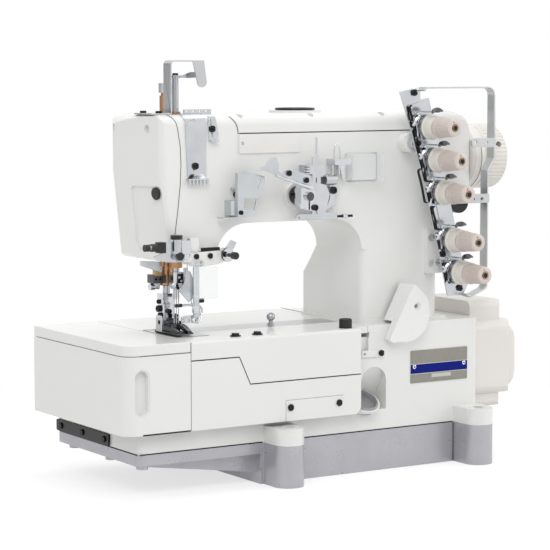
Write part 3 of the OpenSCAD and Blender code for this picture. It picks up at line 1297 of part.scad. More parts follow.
oil_pan();
pan_end_plate();
bed_casting();
side_cover();
cloth_plate_left();
side_hinge_pin();
bed_plate();
slide_plate();
ball_knob();
front_cover();
access_plate();
access_screws();
cover_hinge_pins();
cover_latch();
oil_plug();
push_button();
needle_plate();
feed_dog();
looper();
arm_casting();
top_cover();
window_ring();
window_glass();
face_cover();
face_plug();
badge_plate();
name_plate();
feed_cover();
upper_shaft();
handwheel();
lower_shaft();
upper_pulley();
timing_belt();
motor_housing();
bronze_bushes();
needle_bar();
needle_clamp();
needles();
presser_bar();
presser_foot();
pressure_screw();
top_guard();
head_guide();
thread_bracket();
take_up();
clear_cover();
spreader_bracket();
eye_guard();
thread_tension();
tension_plate();
tension_guard();
tension_posts();
thread_fingers();
tension_knob_1();
tension_knob_2();
tension_knob_3();
tension_knob_4();
tension_knob_5();
rack_knob();
black_screws();
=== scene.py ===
"""Looks of a flatbed coverstitch sewing machine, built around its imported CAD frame."""
import json

import bmesh
import bpy
import numpy as np
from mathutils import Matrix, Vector


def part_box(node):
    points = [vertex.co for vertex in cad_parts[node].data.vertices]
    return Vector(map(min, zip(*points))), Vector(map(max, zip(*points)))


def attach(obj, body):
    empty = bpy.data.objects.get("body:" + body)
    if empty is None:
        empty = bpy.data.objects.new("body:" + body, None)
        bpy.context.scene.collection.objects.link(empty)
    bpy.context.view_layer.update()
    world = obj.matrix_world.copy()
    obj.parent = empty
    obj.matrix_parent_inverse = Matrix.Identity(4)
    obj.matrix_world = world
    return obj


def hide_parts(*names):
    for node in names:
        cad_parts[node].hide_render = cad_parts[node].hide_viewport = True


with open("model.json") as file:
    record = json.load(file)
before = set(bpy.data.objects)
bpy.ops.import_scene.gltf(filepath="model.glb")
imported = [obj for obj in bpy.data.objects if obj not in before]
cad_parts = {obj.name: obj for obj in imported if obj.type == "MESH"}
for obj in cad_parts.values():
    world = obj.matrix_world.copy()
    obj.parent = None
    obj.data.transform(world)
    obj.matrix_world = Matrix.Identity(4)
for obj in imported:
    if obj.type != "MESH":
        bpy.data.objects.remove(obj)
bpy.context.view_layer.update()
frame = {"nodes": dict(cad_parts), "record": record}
MM = 0.001
BODY_OF = {node: body for body, nodes in frame["record"]["behaviour"]["bodies"].items() for node in nodes}
SLOT_OF = {part["node"]: part["material_slot"] for part in frame["record"]["subparts"]}
KNOBS = range(1, 6)
# distance in metres under which doubled points are merged, and the bend in degrees that counts as flat
WELD = 2e-6
FLAT = 0.6


# ---------- colours and materials ----------

def linear(hex_colour):
    """Linear RGBA of an sRGB hex colour: a power of 2.4 above the dark toe, a straight line in it."""
    srgb = np.array([int(hex_colour[i:i + 2], 16) for i in (0, 2, 4)]) / 255
    low = srgb / 12.92
    high = ((srgb + 0.055) / 1.055) ** 2.4
    return (*np.where(srgb <= 0.04045, low, high), 1.0)


def add(tree, kind, settings=None, links=None):
    """Adds one node: settings set its properties or sockets, links join (node, output) to its inputs."""
    node = tree.nodes.new(kind)
    for key, value in (settings or {}).items():
        if isinstance(key, str) and hasattr(node, key) and key not in node.inputs:
            setattr(node, key, value)
        else:
            node.inputs[key].default_value = value
    for key, (source, output) in (links or {}).items():
        tree.links.new(source.outputs[output], node.inputs[key])
    return node


# Width in mm of the patches of uneven gloss, and the refraction of paint and plastics
GLOSS_MM = 15.0
COATING_IOR = 1.5


def finish_of(name, colour, metallic, roughness, tone, tone_mm, grain_mm=0.0, relief_mm=0.0,
              rough_spread=0.04, streak=None, coat=0.0, **sockets):
    """A finish with slow tone changes, a little uneven gloss and a fine relief, each at a size in mm.

    tone is the second colour that drifts over tone_mm; grain_mm and relief_mm are the relief's width and
    height; streak stretches the relief along one axis, as brushing or grinding does.
    """
    material = bpy.data.materials.new(name)
    material.use_nodes = True
    tree = material.node_tree
    shader = tree.nodes["Principled BSDF"]
    shader.inputs["Metallic"].default_value = metallic
    shader.inputs["Coat Weight"].default_value = coat
    if not metallic:
        shader.inputs["IOR"].default_value = COATING_IOR
    for key, value in sockets.items():
        shader.inputs[key.replace("_", " ")].default_value = value
    place = add(tree, "ShaderNodeTexCoord")
    drift = add(tree, "ShaderNodeTexNoise", {"Scale": 1 / (tone_mm * MM), "Detail": 3.0},
                {"Vector": (place, "Object")})
    blend = add(tree, "ShaderNodeMix", {"data_type": "RGBA", 6: linear(colour), 7: linear(tone)},
                {0: (drift, "Fac")})
    tree.links.new(blend.outputs[2], shader.inputs["Base Color"])
    gloss = add(tree, "ShaderNodeTexNoise", {"Scale": 1 / (GLOSS_MM * MM), "Detail": 4.0},
                {"Vector": (place, "Object")})
    spread = add(tree, "ShaderNodeMapRange",
                 {"To Min": roughness - rough_spread, "To Max": roughness + rough_spread},
                 {"Value": (gloss, "Fac")})
    tree.links.new(spread.outputs[0], shader.inputs["Roughness"])
    if relief_mm:
        vector = (place, "Object")
        if streak:
            vector = (add(tree, "ShaderNodeMapping", {"Scale": streak}, {"Vector": vector}), "Vector")
        grain = add(tree, "ShaderNodeTexNoise", {"Scale": 1 / (grain_mm * MM), "Detail": 2.0},
                    {"Vector": vector})
        bump = add(tree, "ShaderNodeBump", {"Strength": 1.0, "Distance": relief_mm * MM},
                   {"Height": (grain, "Fac")})
        tree.links.new(bump.outputs[0], shader.inputs["Normal"])
    return material


# Gloss enamel sprayed over filled castings: broad soft highlights with a trace of orange peel
white_enamel = finish_of("white_gloss_enamel", "E9E9E7", 0, 0.3, "E6E6E3", 70, 4.0, 0.003, coat=0.3,
                         Coat_Roughness=0.1)
# The same enamel over moulded covers, a little smoother
cover_enamel = finish_of("white_cover_enamel", "ECECEA", 0, 0.26, "E9E9E7", 70, 4.0, 0.002, coat=0.3,
                         Coat_Roughness=0.08)
# Grey enamel sprayed on a sand-cast pan: the casting's grain shows through
grey_enamel = finish_of("grey_sand_cast_enamel", "BCBCC1", 0.4, 0.3, "ABABB1", 22, 1.8, 0.05,
                        rough_spread=0.1)
# Dark grey cap of the oil filler, moulded nylon with a satin face
grey_nylon = finish_of("grey_satin_nylon", "9FA0A3", 0, 0.45, "97989B", 12, 0.5, 0.01)
# Injection-moulded ABS of the motor shell and the handwheel, with a fine spark-eroded texture
cream_abs = finish_of("cream_abs", "E6E3DF", 0, 0.42, "E1DDD7", 30, 0.5, 0.008)
# Polished tool steel of the presser foot's toes
foot_steel = finish_of("polished_tool_steel", "77777B", 1, 0.18, "38383B", 2.6, 0.3, 0.03, rough_spread=0.14)
# The tension knobs' pinkish ABS and their paler collars
knob_abs = finish_of("pink_beige_abs", "D6CBC5", 0, 0.38, "CFC3BB", 15, 0.5, 0.008)
collar_abs = finish_of("ivory_abs", "E4E0D8", 0, 0.34, "DEDAD1", 15, 0.5, 0.006)
# Nickel-plated spring steel sheet: bright, with a fine rolled grain along its length
nickel_sheet = finish_of("nickel_plated_sheet", "DADCDE", 1, 0.2, "B9BEC3", 24, 0.35, 0.0025,
                         streak=(1, 1, 0.08))
# Plated sheet left satin, as on the finger guard
satin_sheet = finish_of("satin_plated_sheet", "CDCFCF", 1, 0.34, "BDBFC1", 20, 0.3, 0.004,
                        streak=(1, 1, 0.08))
# Bright chromium on turned and milled small parts
chromium = finish_of("bright_chromium", "DADCDF", 1, 0.1, "CDD0D4", 8, 0.5, 0.002)
# Ground and polished bar
ground_steel = finish_of("ground_steel_bar", "C0C2C5", 1, 0.18, "AEB0B4", 10, 0.3, 0.003, streak=(1, 1, 12))
# Machined steel of the foot and feed, darkened by oil
oiled_steel = finish_of("oiled_machined_steel", "6F6E70", 1, 0.28, "4B4B4E", 5, 0.4, 0.01, rough_spread=0.1)
# Blued steel screws: nearly black, brighter where the heads catch the light
blued_steel = finish_of("blued_steel", "1B1B1E", 0.55, 0.32, "252529", 4, 0.4, 0.005)
# Painted shade: matt black bars that stand for the shadowed gaps down the rack's left edge
gap_shade_black = finish_of("matt_black_painted_gap_shade", "0E0E0F", 0, 0.5, "151516", 6, 0.5, 0.006,
                         Specular_IOR_Level=0.25)
# Moulded black nylon and rubber
black_nylon = finish_of("black_nylon", "161618", 0, 0.36, "1D1D20", 8, 0.5, 0.008)
black_rubber = finish_of("black_rubber", "161617", 0, 0.6, "1F1F20", 8, 0.4, 0.015)
# Painted shade in narrow joints and grooves, such as the gap between two enamelled covers
joint_shade = finish_of("joint_shade", "75726D", 0, 0.7, "6B6863", 8)
# Deep unlit openings and the shadow line inside a joint
deep_shade = finish_of("unlit_recess", "0D0D0E", 0, 0.8, "111112", 5)
# Sintered bronze bushes, oil-soaked
bronze = finish_of("sintered_bronze", "C59B78", 1, 0.26, "AC805A", 6, 0.3, 0.005)
# Turned brass insert
brass = finish_of("turned_brass", "BCA27A", 1, 0.24, "A78A60", 4, 0.3, 0.004)
# Satin anodised plate with no print
bare_plate = finish_of("anodised_plate", "EAE9E6", 0, 0.3, "E5E4E1", 20, 0.4, 0.002)
# Red paint dot that marks a knob's setting
red_paint = finish_of("red_paint", "8E2A35", 0, 0.4, "832530", 2)


def clear_sheet(name, tint, roughness, cover):
    """Thin clear acrylic: nearly all light passes straight through, and a faint film of gloss is left.

    cover is the share of the sheet's own colour, which stays low because the sheet is thin.
    """
    material = bpy.data.materials.new(name)
    material.use_nodes = True
    shader = material.node_tree.nodes["Principled BSDF"]
    shader.inputs["Base Color"].default_value = linear(tint)
    shader.inputs["Roughness"].default_value = roughness
    shader.inputs["Alpha"].default_value = cover
    shader.inputs["IOR"].default_value = 1.49
    return material


acrylic = clear_sheet("clear_acrylic", "EEF1F3", 0.05, 0.2)


def printed_plate(plate):
    """Anodised plate printed in flat fields: a dark blue band between two pale rules, and a pale blank field.

    Each field is a rectangle of the plate's own face: (colour, u, v, half width, half height), in fractions
    of the plate, and a field covers what lies within its half width and half height of (u, v).
    """
    (x0, _, z0), (x1, _, z1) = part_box(plate)
    wide, high = x1 - x0, z1 - z0
    material = bare_plate.copy()
    material.name = "printed_anodised_plate"
    tree = material.node_tree
    shader = tree.nodes["Principled BSDF"]
    shader.inputs["Coat Weight"].default_value = 0.0
    shader.inputs["Metallic"].default_value = 0.0
    shader.inputs["Specular IOR Level"].default_value = 0.15
    place = add(tree, "ShaderNodeTexCoord")
    axes = add(tree, "ShaderNodeSeparateXYZ", None, {0: (place, "Object")})
    mottle = add(tree, "ShaderNodeTexNoise", {"Scale": 1 / (6 * MM)}, {"Vector": (place, "Object")})
    shade = add(tree, "ShaderNodeMix", {"data_type": "RGBA", 6: linear("9A988F"), 7: linear("8F8C86")},
                {0: (mottle, "Fac")})
    fields = [("C9C9C6", 0.5, 0.43, 0.5, 0.158), ("001478", 0.5, 0.43, 0.5, 0.14),
              ("C8C8BE", 0.535, 0.19, 0.17, 0.055)]
    for colour, u, v, half_u, half_v in fields:
        across = add(tree, "ShaderNodeMath", {"operation": "COMPARE", 1: x0 + u * wide, 2: half_u * wide},
                     {0: (axes, "X")})
        along = add(tree, "ShaderNodeMath", {"operation": "COMPARE", 1: z0 + v * high, 2: half_v * high},
                    {0: (axes, "Z")})
        field = add(tree, "ShaderNodeMath", {"operation": "MULTIPLY"}, {0: (across, 0), 1: (along, 0)})
        shade = add(tree, "ShaderNodeMix", {"data_type": "RGBA", 7: linear(colour)},
                    {0: (field, 0), 6: (shade, 2)})
    tree.links.new(shade.outputs[2], shader.inputs["Base Color"])
    return material


FINISH = {
    "white_enamel": white_enamel, "white_cover": cover_enamel, "grey_enamel": grey_enamel,
    "cream_plastic": cream_abs, "steel": ground_steel, "chrome": nickel_sheet, "brass": bronze,
    "black_metal": blued_steel, "black_rubber": black_rubber, "black_plastic": black_nylon,
    "clear_plastic": acrylic, "grey_print": bare_plate,
}


# ---------- turning CAD nodes into finished pieces ----------

# Steps across a rounded edge, the bend in degrees at which an edge is sharp, and the edge width in mm above
# which a bevel is held back where edges crowd
EDGE_STEPS = 3
SHARP = 32
CROWDED = 0.3


def softened(node, edge_mm, finish=None, zones=()):
    """The node's own form, its doubles merged and its edges rounded by edge_mm, in place of the node.

    zones are (finish, (x0, x1, y0, y1, z0, z1)) in mm: a face whose middle lies in the box takes that
    finish, and a later zone wins over an earlier one.
    """
    shape = bmesh.new()
    shape.from_mesh(frame["nodes"][node].data)
    bmesh.ops.remove_doubles(shape, verts=shape.verts, dist=WELD)
    bmesh.ops.dissolve_limit(shape, angle_limit=np.radians(FLAT), verts=shape.verts, edges=shape.edges)
    mesh = bpy.data.meshes.new(node + "_form")
    shape.to_mesh(mesh)
    shape.free()
    mesh.materials.clear()
    mesh.materials.append(finish or FINISH[SLOT_OF[node]])
    if zones:
        middle = np.empty(len(mesh.polygons) * 3)
        mesh.polygons.foreach_get("center", middle)
        middle = middle.reshape(-1, 3) / MM
        index = np.zeros(len(mesh.polygons), dtype=np.int32)
        for number, (zone_finish, box) in enumerate(zones, 1):
            mesh.materials.append(zone_finish)
            low, high = np.array(box[0::2]), np.array(box[1::2])
            index[np.all((middle >= low) & (middle <= high), axis=1)] = number
        mesh.polygons.foreach_set("material_index", index)
    piece = bpy.data.objects.new(node + "_form", mesh)
    bpy.context.scene.collection.objects.link(piece)
    mesh.shade_smooth()
    mesh.set_sharp_from_angle(angle=np.radians(SHARP))
    if edge_mm:
        bevel = piece.modifiers.new("rounded edges", "BEVEL")
        bevel.width = edge_mm * MM
        bevel.segments = EDGE_STEPS
        bevel.limit_method = "ANGLE"
        bevel.angle_limit = np.radians(SHARP)
        bevel.use_clamp_overlap = edge_mm > CROWDED
        level = piece.modifiers.new("flat faces", "WEIGHTED_NORMAL")
        level.keep_sharp = True
    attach(piece, BODY_OF[node])
    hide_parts(node)
    return piece


FORMED = {f"tension_knob_{n}" for n in KNOBS} | {"thread_fingers"}
EDGES = {"arm_casting": 0.9, "bed_casting": 0.8, "bed_plate": 0.9, "cloth_plate_left": 0.9, "side_cover": 0.8,
         "front_cover": 0.6, "face_cover": 0.8, "top_cover": 0.5, "oil_pan": 1.2, "motor_housing": 1.6,
         "feed_cover": 1.6, "handwheel": 0.6, "oil_plug": 0.6, "black_screws": 0.3, "access_screws": 0.3,
         "ball_knob": 0, "window_ring": 0.3, "tension_guard": 0.3, "top_guard": 0.3, "presser_foot": 0.5,
         "needle_clamp": 0.4, "rack_knob": 1.2, "push_button": 1.0, "face_plug": 1.0, "head_guide": 0}
FINISH_OF = {"presser_foot": foot_steel, "needle_clamp": chromium, "feed_dog": oiled_steel,
             "looper": oiled_steel, "oil_plug": grey_nylon, "top_guard": satin_sheet,
             "tension_guard": satin_sheet,
             "needle_plate": satin_sheet, "slide_plate": satin_sheet, "thread_tension": chromium,
             "take_up": nickel_sheet, "ball_knob": ground_steel, "name_plate": printed_plate("name_plate")}
ZONES = {
    # capped pin, knobs and nipper of the spreader bracket, with its enamelled arm plate
    "spreader_bracket": [
        (white_enamel, (-244, -192, -88.3, -65.5, 243, 261.5)),
        (satin_sheet, (-255, -235, -90.5, -83.5, 256, 275)),
        (white_enamel, (-237.2, -222.8, -86, -83.8, 256, 275)),
        (chromium, (-258, -244.8, -92.5, -79.8, 272.6, 274.2)),
        (black_nylon, (-258, -244, -93, -79, 274, 279)),
        (black_nylon, (-255, -245.4, -94, -90.1, 251, 261)),
        (black_nylon, (-292.1, -274.9, -94, -84, 261.9, 271)),
        (black_nylon, (-276.2, -267.3, -93.2, -86.2, 260, 272.2)),
        (chromium, (-286.9, -284.1, -92, -86, 263.5, 269.3)),
        (blued_steel, (-220.2, -197.8, -87.6, -84, 258.2, 264)),
        (chromium, (-244, -237.5, -90.2, -88.1, 251, 258)),
        (satin_sheet, (-183.2, -175.6, -86.2, -84, 255, 271)),
        (brass, (-248, -237.8, -33.2, -26.8, 230.9, 238.2)),
        (oiled_steel, (-249.2, -231.8, -31.5, -16.5, 221.3, 231)),
        # a slot in the oiled steel block, painted dark as shade
        (deep_shade, (-247, -239, -30.9, -20, 224.6, 227.4)),
        (chromium, (-250.2, -238.4, -30, -18, 213.5, 221.4)),
        (black_nylon, (-241.2, -232.9, -67.2, -62.8, 197.9, 202.1)),
        (blued_steel, (-210.5, -205.9, -67.7, -62.3, 201.3, 206.7)),
        (chromium, (-220, -210.4, -69.7, -60.3, 190.9, 199.1))],
    "presser_foot": [(chromium, (-240, -218, -38.5, -15, 181.5, 199))],
    "presser_bar": [(chromium, (-239, -222, -31, -17, 198, 210))],
    "needle_bar": [(black_nylon, (-236, -222, -53, -39, 448.4, 452))],
    # the needle clamp's pits and the slot under it, painted dark as shade
    "needle_clamp": [(deep_shade, (-232.1, -223.9, -53.1, -52.4, 222.5, 233)),
                     (deep_shade, (-233.5, -223, -53.4, -49, 219, 221.9))],
    "thread_bracket": [
        (blued_steel, (-43.9, -23.9, -86.5, -83.9, 289, 292.5)),
        (satin_sheet, (-61.1, -46.3, -90.1, -77.9, 325.9, 338.1)),
        (blued_steel, (-59.9, -52.9, -86.2, -83.9, 293, 329)),
        (chromium, (-52.1, -29.9, -92.1, -73.9, 337.4, 355.1))],
    "take_up": [
        (oiled_steel, (-102, -91, -110.9, -110.3, 310.5, 321.5)),
        (chromium, (-107.5, -87, -107.1, -93.9, 299, 335)),
        # painted shade: the collar behind the clamp is coloured nearly black for the shadowed gap between the
        # arm's boss and the clamp
        (blued_steel, (-110, -85.9, -95.1, -83.3, 305, 327)),
        (blued_steel, (-126.6, -120, -110.8, -108.7, 338.8, 345.4)),
        (blued_steel, (-104.3, -97.7, -110.8, -108.7, 330.6, 337.2))],
    # the posts' ends inside the knobs' bores, painted dark as shade
    "tension_posts": [(deep_shade, (50, 130, -151.2, -150.6, 200, 410))],
    "thread_tension": [(black_nylon, (-194.1, -185.9, -108.1, -92.5, 250.9, 259.1)),
                       (oiled_steel, (-197.6, -182.4, -92.1, -89.2, 247.4, 262.6))],
    "pressure_screw": [(satin_sheet, (-240, -218, -38, -10, 430, 436)),
                       # the hollow in the screw's top, painted dark as shade
                       (deep_shade, (-232, -226, -27, -21, 436, 439.3))],
    # the needle plate's edges below its top, painted dark as shade along its joint
    "needle_plate": [(deep_shade, (-243.5, -204.4, -73.5, 2.5, 160, 166.2))],
}
for node in frame["nodes"]:
    if node not in FORMED:
        softened(node, EDGES.get(node, 0.2), finish=FINISH_OF.get(node), zones=ZONES.get(node, ()))


# ---------- surfaces worked out on a grid ----------

def skin(name, rings, finish, body, angle=38):
    """A closed skin over rings of points in mm, shape (rings, points, 3), with a flat face at each end."""
    count, around = rings.shape[:2]
    first = np.arange(count - 1)[:, None] * around + np.arange(around)
    second = np.arange(count - 1)[:, None] * around + (np.arange(around) + 1) % around
    faces = np.stack([first, second, second + around, first + around], axis=-1).reshape(-1, 4).tolist()
    faces += [list(range(around)), list(range((count - 1) * around, count * around))]
    mesh = bpy.data.meshes.new(name)
    mesh.from_pydata((rings.reshape(-1, 3) * MM).tolist(), [], faces)
    shape = bmesh.new()
    shape.from_mesh(mesh)
    bmesh.ops.recalc_face_normals(shape, faces=shape.faces)
    shape.to_mesh(mesh)
    shape.free()
    mesh.materials.append(finish)
    mesh.shade_smooth()
    mesh.set_sharp_from_angle(angle=np.radians(angle))
    piece = bpy.data.objects.new(name, mesh)
    bpy.context.scene.collection.objects.link(piece)
    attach(piece, body)
    return piece


def turned(name, centre, profile, finish, body, axis=(0, -1, 0), around=48, ribs=None):
    """A turned form: at height h along the axis its radius is r, from profile's (h, r) pairs in mm.

    ribs = (number, depth, h0, h1): between h0 and h1 the radius swells by depth times the square root of
    |cos(number / 2 * angle)|, which gives round ribs with sharp valleys.
    """
    w = np.array(axis, float) / np.linalg.norm(axis)
    u = np.cross(w, (0.0, 0.0, 1.0) if abs(w[2]) < 0.9 else (1.0, 0.0, 0.0))
    u /= np.linalg.norm(u)
    v = np.cross(w, u)
    h, r = np.array(profile, float).T
    turn = np.linspace(0, 2 * np.pi, around, endpoint=False)
    radius = np.repeat(r[:, None], around, axis=1)
    if ribs:
        number, depth, h0, h1 = ribs
        wave = np.sqrt(np.abs(np.cos(number / 2 * turn)))
        radius = radius + depth * wave * ((h >= h0) & (h <= h1))[:, None]
    spoke = np.cos(turn)[:, None] * u + np.sin(turn)[:, None] * v
    rings = np.array(centre, float) + h[:, None, None] * w + radius[:, :, None] * spoke
    return skin(name, rings, finish, body)


def smooth_path(points, count=24):
    """Points along a Catmull-Rom curve: each span is a cubic whose end slopes are (next - previous) / 2."""
    p = np.array(points, float)
    p = np.vstack([2 * p[0] - p[1], p, 2 * p[-1] - p[-2]])
    t = np.linspace(0, len(points) - 1 - 1e-9, count)
    k = t.astype(int)
    t = (t - k)[:, None]
    a, b, c, d = p[k], p[k + 1], p[k + 2], p[k + 3]
    return 0.5 * (2 * b + (c - a) * t + (2 * a - 5 * b + 4 * c - d) * t ** 2
                  + (3 * b - a - 3 * c + d) * t ** 3)


def across_and_rise(path, up):
    """Unit vectors at each point of a path: its direction crossed with up, and that crossed with it."""
    ahead = np.gradient(path, axis=0)
    ahead /= np.linalg.norm(ahead, axis=1)[:, None]
    side = np.cross(ahead, up)
    side /= np.linalg.norm(side, axis=1)[:, None]
    return side, np.cross(side, ahead)


def swept(name, path, profile, finish, body, up=(0, 1, 0)):
    """A closed profile (side, rise) carried along a path: side is the path's direction crossed with up."""
    path = np.array(path, float)
    side, rise = across_and_rise(path, up)
    profile = np.array(profile, float)
    rings = (path[:, None] + profile[:, 0][None, :, None] * side[:, None]
             + profile[:, 1][None, :, None] * rise[:, None])
    return skin(name, rings, finish, body)


def round_wire(diameter, points=12):
    """Points of a circle."""
    turn = np.linspace(0, 2 * np.pi, points, endpoint=False)
    return np.stack([np.cos(turn), np.sin(turn)], axis=1) * diameter / 2


def flat_bar(width, thickness, corner=0.4):
    """Points of a rectangle with cut corners."""
    x, y = width / 2, thickness / 2
    c = min(corner, x * 0.9, y * 0.9)
    return np.array([(x - c, -y), (x, c - y), (x, y - c), (x - c, y),
                     (c - x, y), (-x, y - c), (-x, c - y), (c - x, -y)])


# ---------- tension rack ----------

# Each knob: an ivory collar, a parting groove painted dark as shade, and a pinkish grip with 30 fine ribs in
# two steps.
# Profiles are (height from the discs, radius); the last heights follow the knob's own length.
BORE = 3.3
RIBS = 30
for number in KNOBS:
    knob = f"tension_knob_{number}"
    low, high = np.array(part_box(knob)) / MM
    middle = (low + high) / 2
    seat = np.array([middle[0], high[1], middle[2]])
    wide = (high[0] - low[0]) / 2
    long = high[1] - low[1]
    collar = turned(knob + "_collar", seat,
                    [(0, BORE), (0, wide - 0.6), (0.5, wide - 0.1), (2.2, wide), (3.0, wide - 0.5),
                     (3.5, wide - 1.3), (5.0, wide - 1.4), (14.6, wide - 1.9), (15.6, wide - 2.3),
                     (16.0, wide - 2.9), (16.0, BORE)],
                    collar_abs, knob, around=96)
    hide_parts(knob)
    turned(knob + "_groove_shade", seat, [(15.0, BORE), (15.0, 11.1), (18.2, 11.1), (18.2, BORE)],
           joint_shade, knob, around=64)
    turned(knob + "_grip", seat,
           [(17.8, BORE), (17.8, 11.9), (18.1, 12.3), (18.9, 12.3), (19.3, 11.4), (24.6, 11.0), (25.0, 10.4),
            (25.8, 10.4), (26.2, 10.6), (34.0, 10.1), (41.6, 9.4), (42.0, 9.0), (42.8, 9.0), (43.3, 9.7),
            (44.6, 9.5), (long - 0.2, 8.4), (long, 7.8), (long, 4.8), (long - 1.4, 4.6), (long - 1.4, BORE)],
           knob_abs, knob, around=360, ribs=(RIBS, 0.6, 26.1, 41.7))
    turned(knob + "_band", seat, [(19.2, 10.9), (19.2, 11.4), (24.7, 11.0), (24.7, 10.5)],
           knob_abs, knob, around=360, ribs=(RIBS, 0.5, 19.1, 24.8))
    turned(knob + "_insert", seat,
           [(long - 6, 3.2), (long - 6, 4.6), (long - 1.2, 4.6), (long - 0.9, 4.3), (long - 0.9, 3.8),
            (long - 1.2, 3.2)], brass, knob, around=48)
    turned(knob + "_dot", seat + (-1.9, 0, 6.4),
           [(long - 0.5, 0.85), (long + 0.02, 0.85), (long + 0.05, 0.6)],
           red_paint, knob, around=20)


RACK_TILT = np.radians(14.8)
knob_boxes = {number: np.array(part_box(f"tension_knob_{number}")) / MM for number in KNOBS}
rack_centre = (knob_boxes[1][0] + knob_boxes[1][1]) / 2
plate_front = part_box("tension_plate")[0][1] / MM


def rack_point(across, along, y):
    """A point from distances across and along the tilted rack, measured from the top post, and its y."""
    return np.array([rack_centre[0] + across * np.cos(RACK_TILT) - along * np.sin(RACK_TILT), y,
                     rack_centre[2] + across * np.sin(RACK_TILT) + along * np.cos(RACK_TILT)])


def rack_path(along, y, steps):
    """Rack points at (across, along, y) steps from a place on the rack's middle line."""
    return [rack_point(across, along + further, y + depth) for across, further, depth in steps]


# Painted shade: black bars that stand for the shadowed gaps down the left edge of the rack, each with its
# ends turned in:
# (top, bottom, across), in rack distances
SHADED_GAPS = [(30, 4, -19.5), (2, -27, -18.5), (-30, -60, -17.5), (-43, -83, -25.5), (-66, -86, -16.5),
          (-90, -118, -17), (-122, -142, -18), (-158, -182, -17.5)]
for number, (top, bottom, out) in enumerate(SHADED_GAPS, 1):
    bends = [(out + 3, top, 0), (out + 0.4, top - 1.5, 0), (out, top - 5, 0), (out, (top + bottom) / 2, -0.8),
             (out, bottom + 5, 0), (out + 0.4, bottom + 1.5, 0), (out + 3, bottom, 0)]
    swept(f"rack_gap_shadow_{number}", smooth_path(rack_path(0, plate_front - 0.7, bends), 26),
          flat_bar(1.5, 3.6), gap_shade_black, "frame")


# Thread fingers over the knobs: a stem from the plate, a leaf at its end and a bent arm beside it
LEAF_POINTS = 25


def leaf(name, points, width, finish):
    """A thin sheet along a path, its width swelling from a fifth to the whole and back as sin(pi t)."""
    path = smooth_path(points, LEAF_POINTS)
    t = np.linspace(0, 1, LEAF_POINTS)
    side, rise = across_and_rise(path, (0.0, 0.6, 0.8))
    swell = 0.2 + 0.8 * np.sin(np.pi * t) ** 0.8
    profile = flat_bar(1.0, 1.0, 0.2)
    rings = (path[:, None] + profile[:, 0][None, :, None] * rise[:, None] * (width * swell)[:, None, None]
             + profile[:, 1][None, :, None] * side[:, None] * 1.2)
    return skin(name, rings, finish, "frame")


def along_rack(number):
    """How far a knob's post lies along the rack from the top post."""
    low, high = knob_boxes[number]
    return -np.hypot((low[0] + high[0]) / 2 - rack_centre[0], (low[2] + high[2]) / 2 - rack_centre[2])


STEM = [(-2, 18.6, 0.4), (-2, 18.6, -12), (-2, 18.6, -21.5)]
LEAF = [(-5, 17.5, -21), (-2, 20, -21.6), (2.5, 19.6, -22.2), (6, 18.8, -22.2), (10, 16.4, -21.6)]
ARM = [(-14, 17, 0.4), (-14, 17.2, -8), (-16, 17, -11), (-21, 14.5, -11), (-26.5, 9, -11)]
for number in KNOBS:
    along = along_rack(number)
    stem = swept(f"finger_stem_{number}", rack_path(along, plate_front, STEM), flat_bar(2.6, 1.5), chromium,
                 "frame", up=(0, 0, 1))
    if number == 1:
        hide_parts("thread_fingers")
    leaf(f"finger_leaf_{number}", rack_path(along, plate_front, LEAF), 6.5, oiled_steel)
    swept(f"finger_arm_{number}", smooth_path(rack_path(along, plate_front, ARM), 26), flat_bar(2.2, 2.6),
          chromium, "frame", up=(0.3, 0.4, 1))


# Check springs, one bright wire curled beside each pair of discs, and the short lever that leans on the discs
CURL = [(-13.6, -3.0), (-14.6, 2.5), (-12.6, 9.0), (-8.6, 13.6), (-6.4, 17.4), (-8.6, 19.4), (-11.0, 17.0),
        (-9.4, 13.8), (-5.5, 12.8)]
CURL_RISE = 0.25
LEVER = [(-19, -8, 0), (-16, -2, -1), (-16, 8, -1), (-20, 13, 0)]
for number in KNOBS:
    along = along_rack(number)
    y = knob_boxes[number][1][1] + 5.4
    curl = [(across, further, -CURL_RISE * turn) for turn, (across, further) in enumerate(CURL)]
    swept(f"check_spring_{number}", smooth_path(rack_path(along, y, curl), 54), round_wire(1.1), chromium,
          "frame")
    swept(f"disc_lever_{number}", smooth_path(rack_path(along, y, LEVER), 20), flat_bar(2.6, 1.0), chromium,
          "frame")


# ---------- rivets, painted shadow lines in the seams, and small fittings ---

def rivet(name, place, radius):
    """A tubular rivet: its rolled rim rises to 0.75 mm and falls to a bore painted dark as shade."""
    turned(name, place,
           [(-0.2, radius), (0.25, radius), (0.6, radius * 0.86), (0.75, radius * 0.66), (0.6, radius * 0.5)],
           chromium, "frame", around=32)
    turned(name + "_bore", place, [(-0.1, radius * 0.4), (0.68, radius * 0.4)], deep_shade, "frame",
           around=24)


def shadow_line(name, points, wide, finish, up=(0, 1, 0)):
    """A painted shadow line in a joint: a dark flat bar of the joint's width through the points, 1.5 mm
    apart.
    """
    points = np.array(points, float)
    span = np.concatenate([[0], np.cumsum(np.linalg.norm(np.diff(points, axis=0), axis=1))])
    place = np.linspace(0, span[-1], max(6, int(span[-1] / 1.5)))
    path = np.stack([np.interp(place, span, points[:, k]) for k in range(3)], axis=1)
    return swept(name, path, flat_bar(wide, 0.5, 0.1), finish, "frame", up)


def fitting_screw(name, place, axis, diameter, height, finish, body):
    """A cheese-head screw: a rim chamfered by 0.4 mm, and a countersunk hollow of half its width."""
    r = diameter / 2
    turned(name, place, [(-0.6, r * 0.8), (0, r), (height - 0.4, r), (height, r - 0.4), (height, r * 0.5),
                         (height - 0.8, r * 0.42), (height - 0.8, 0.05)], finish, body, axis, 32)


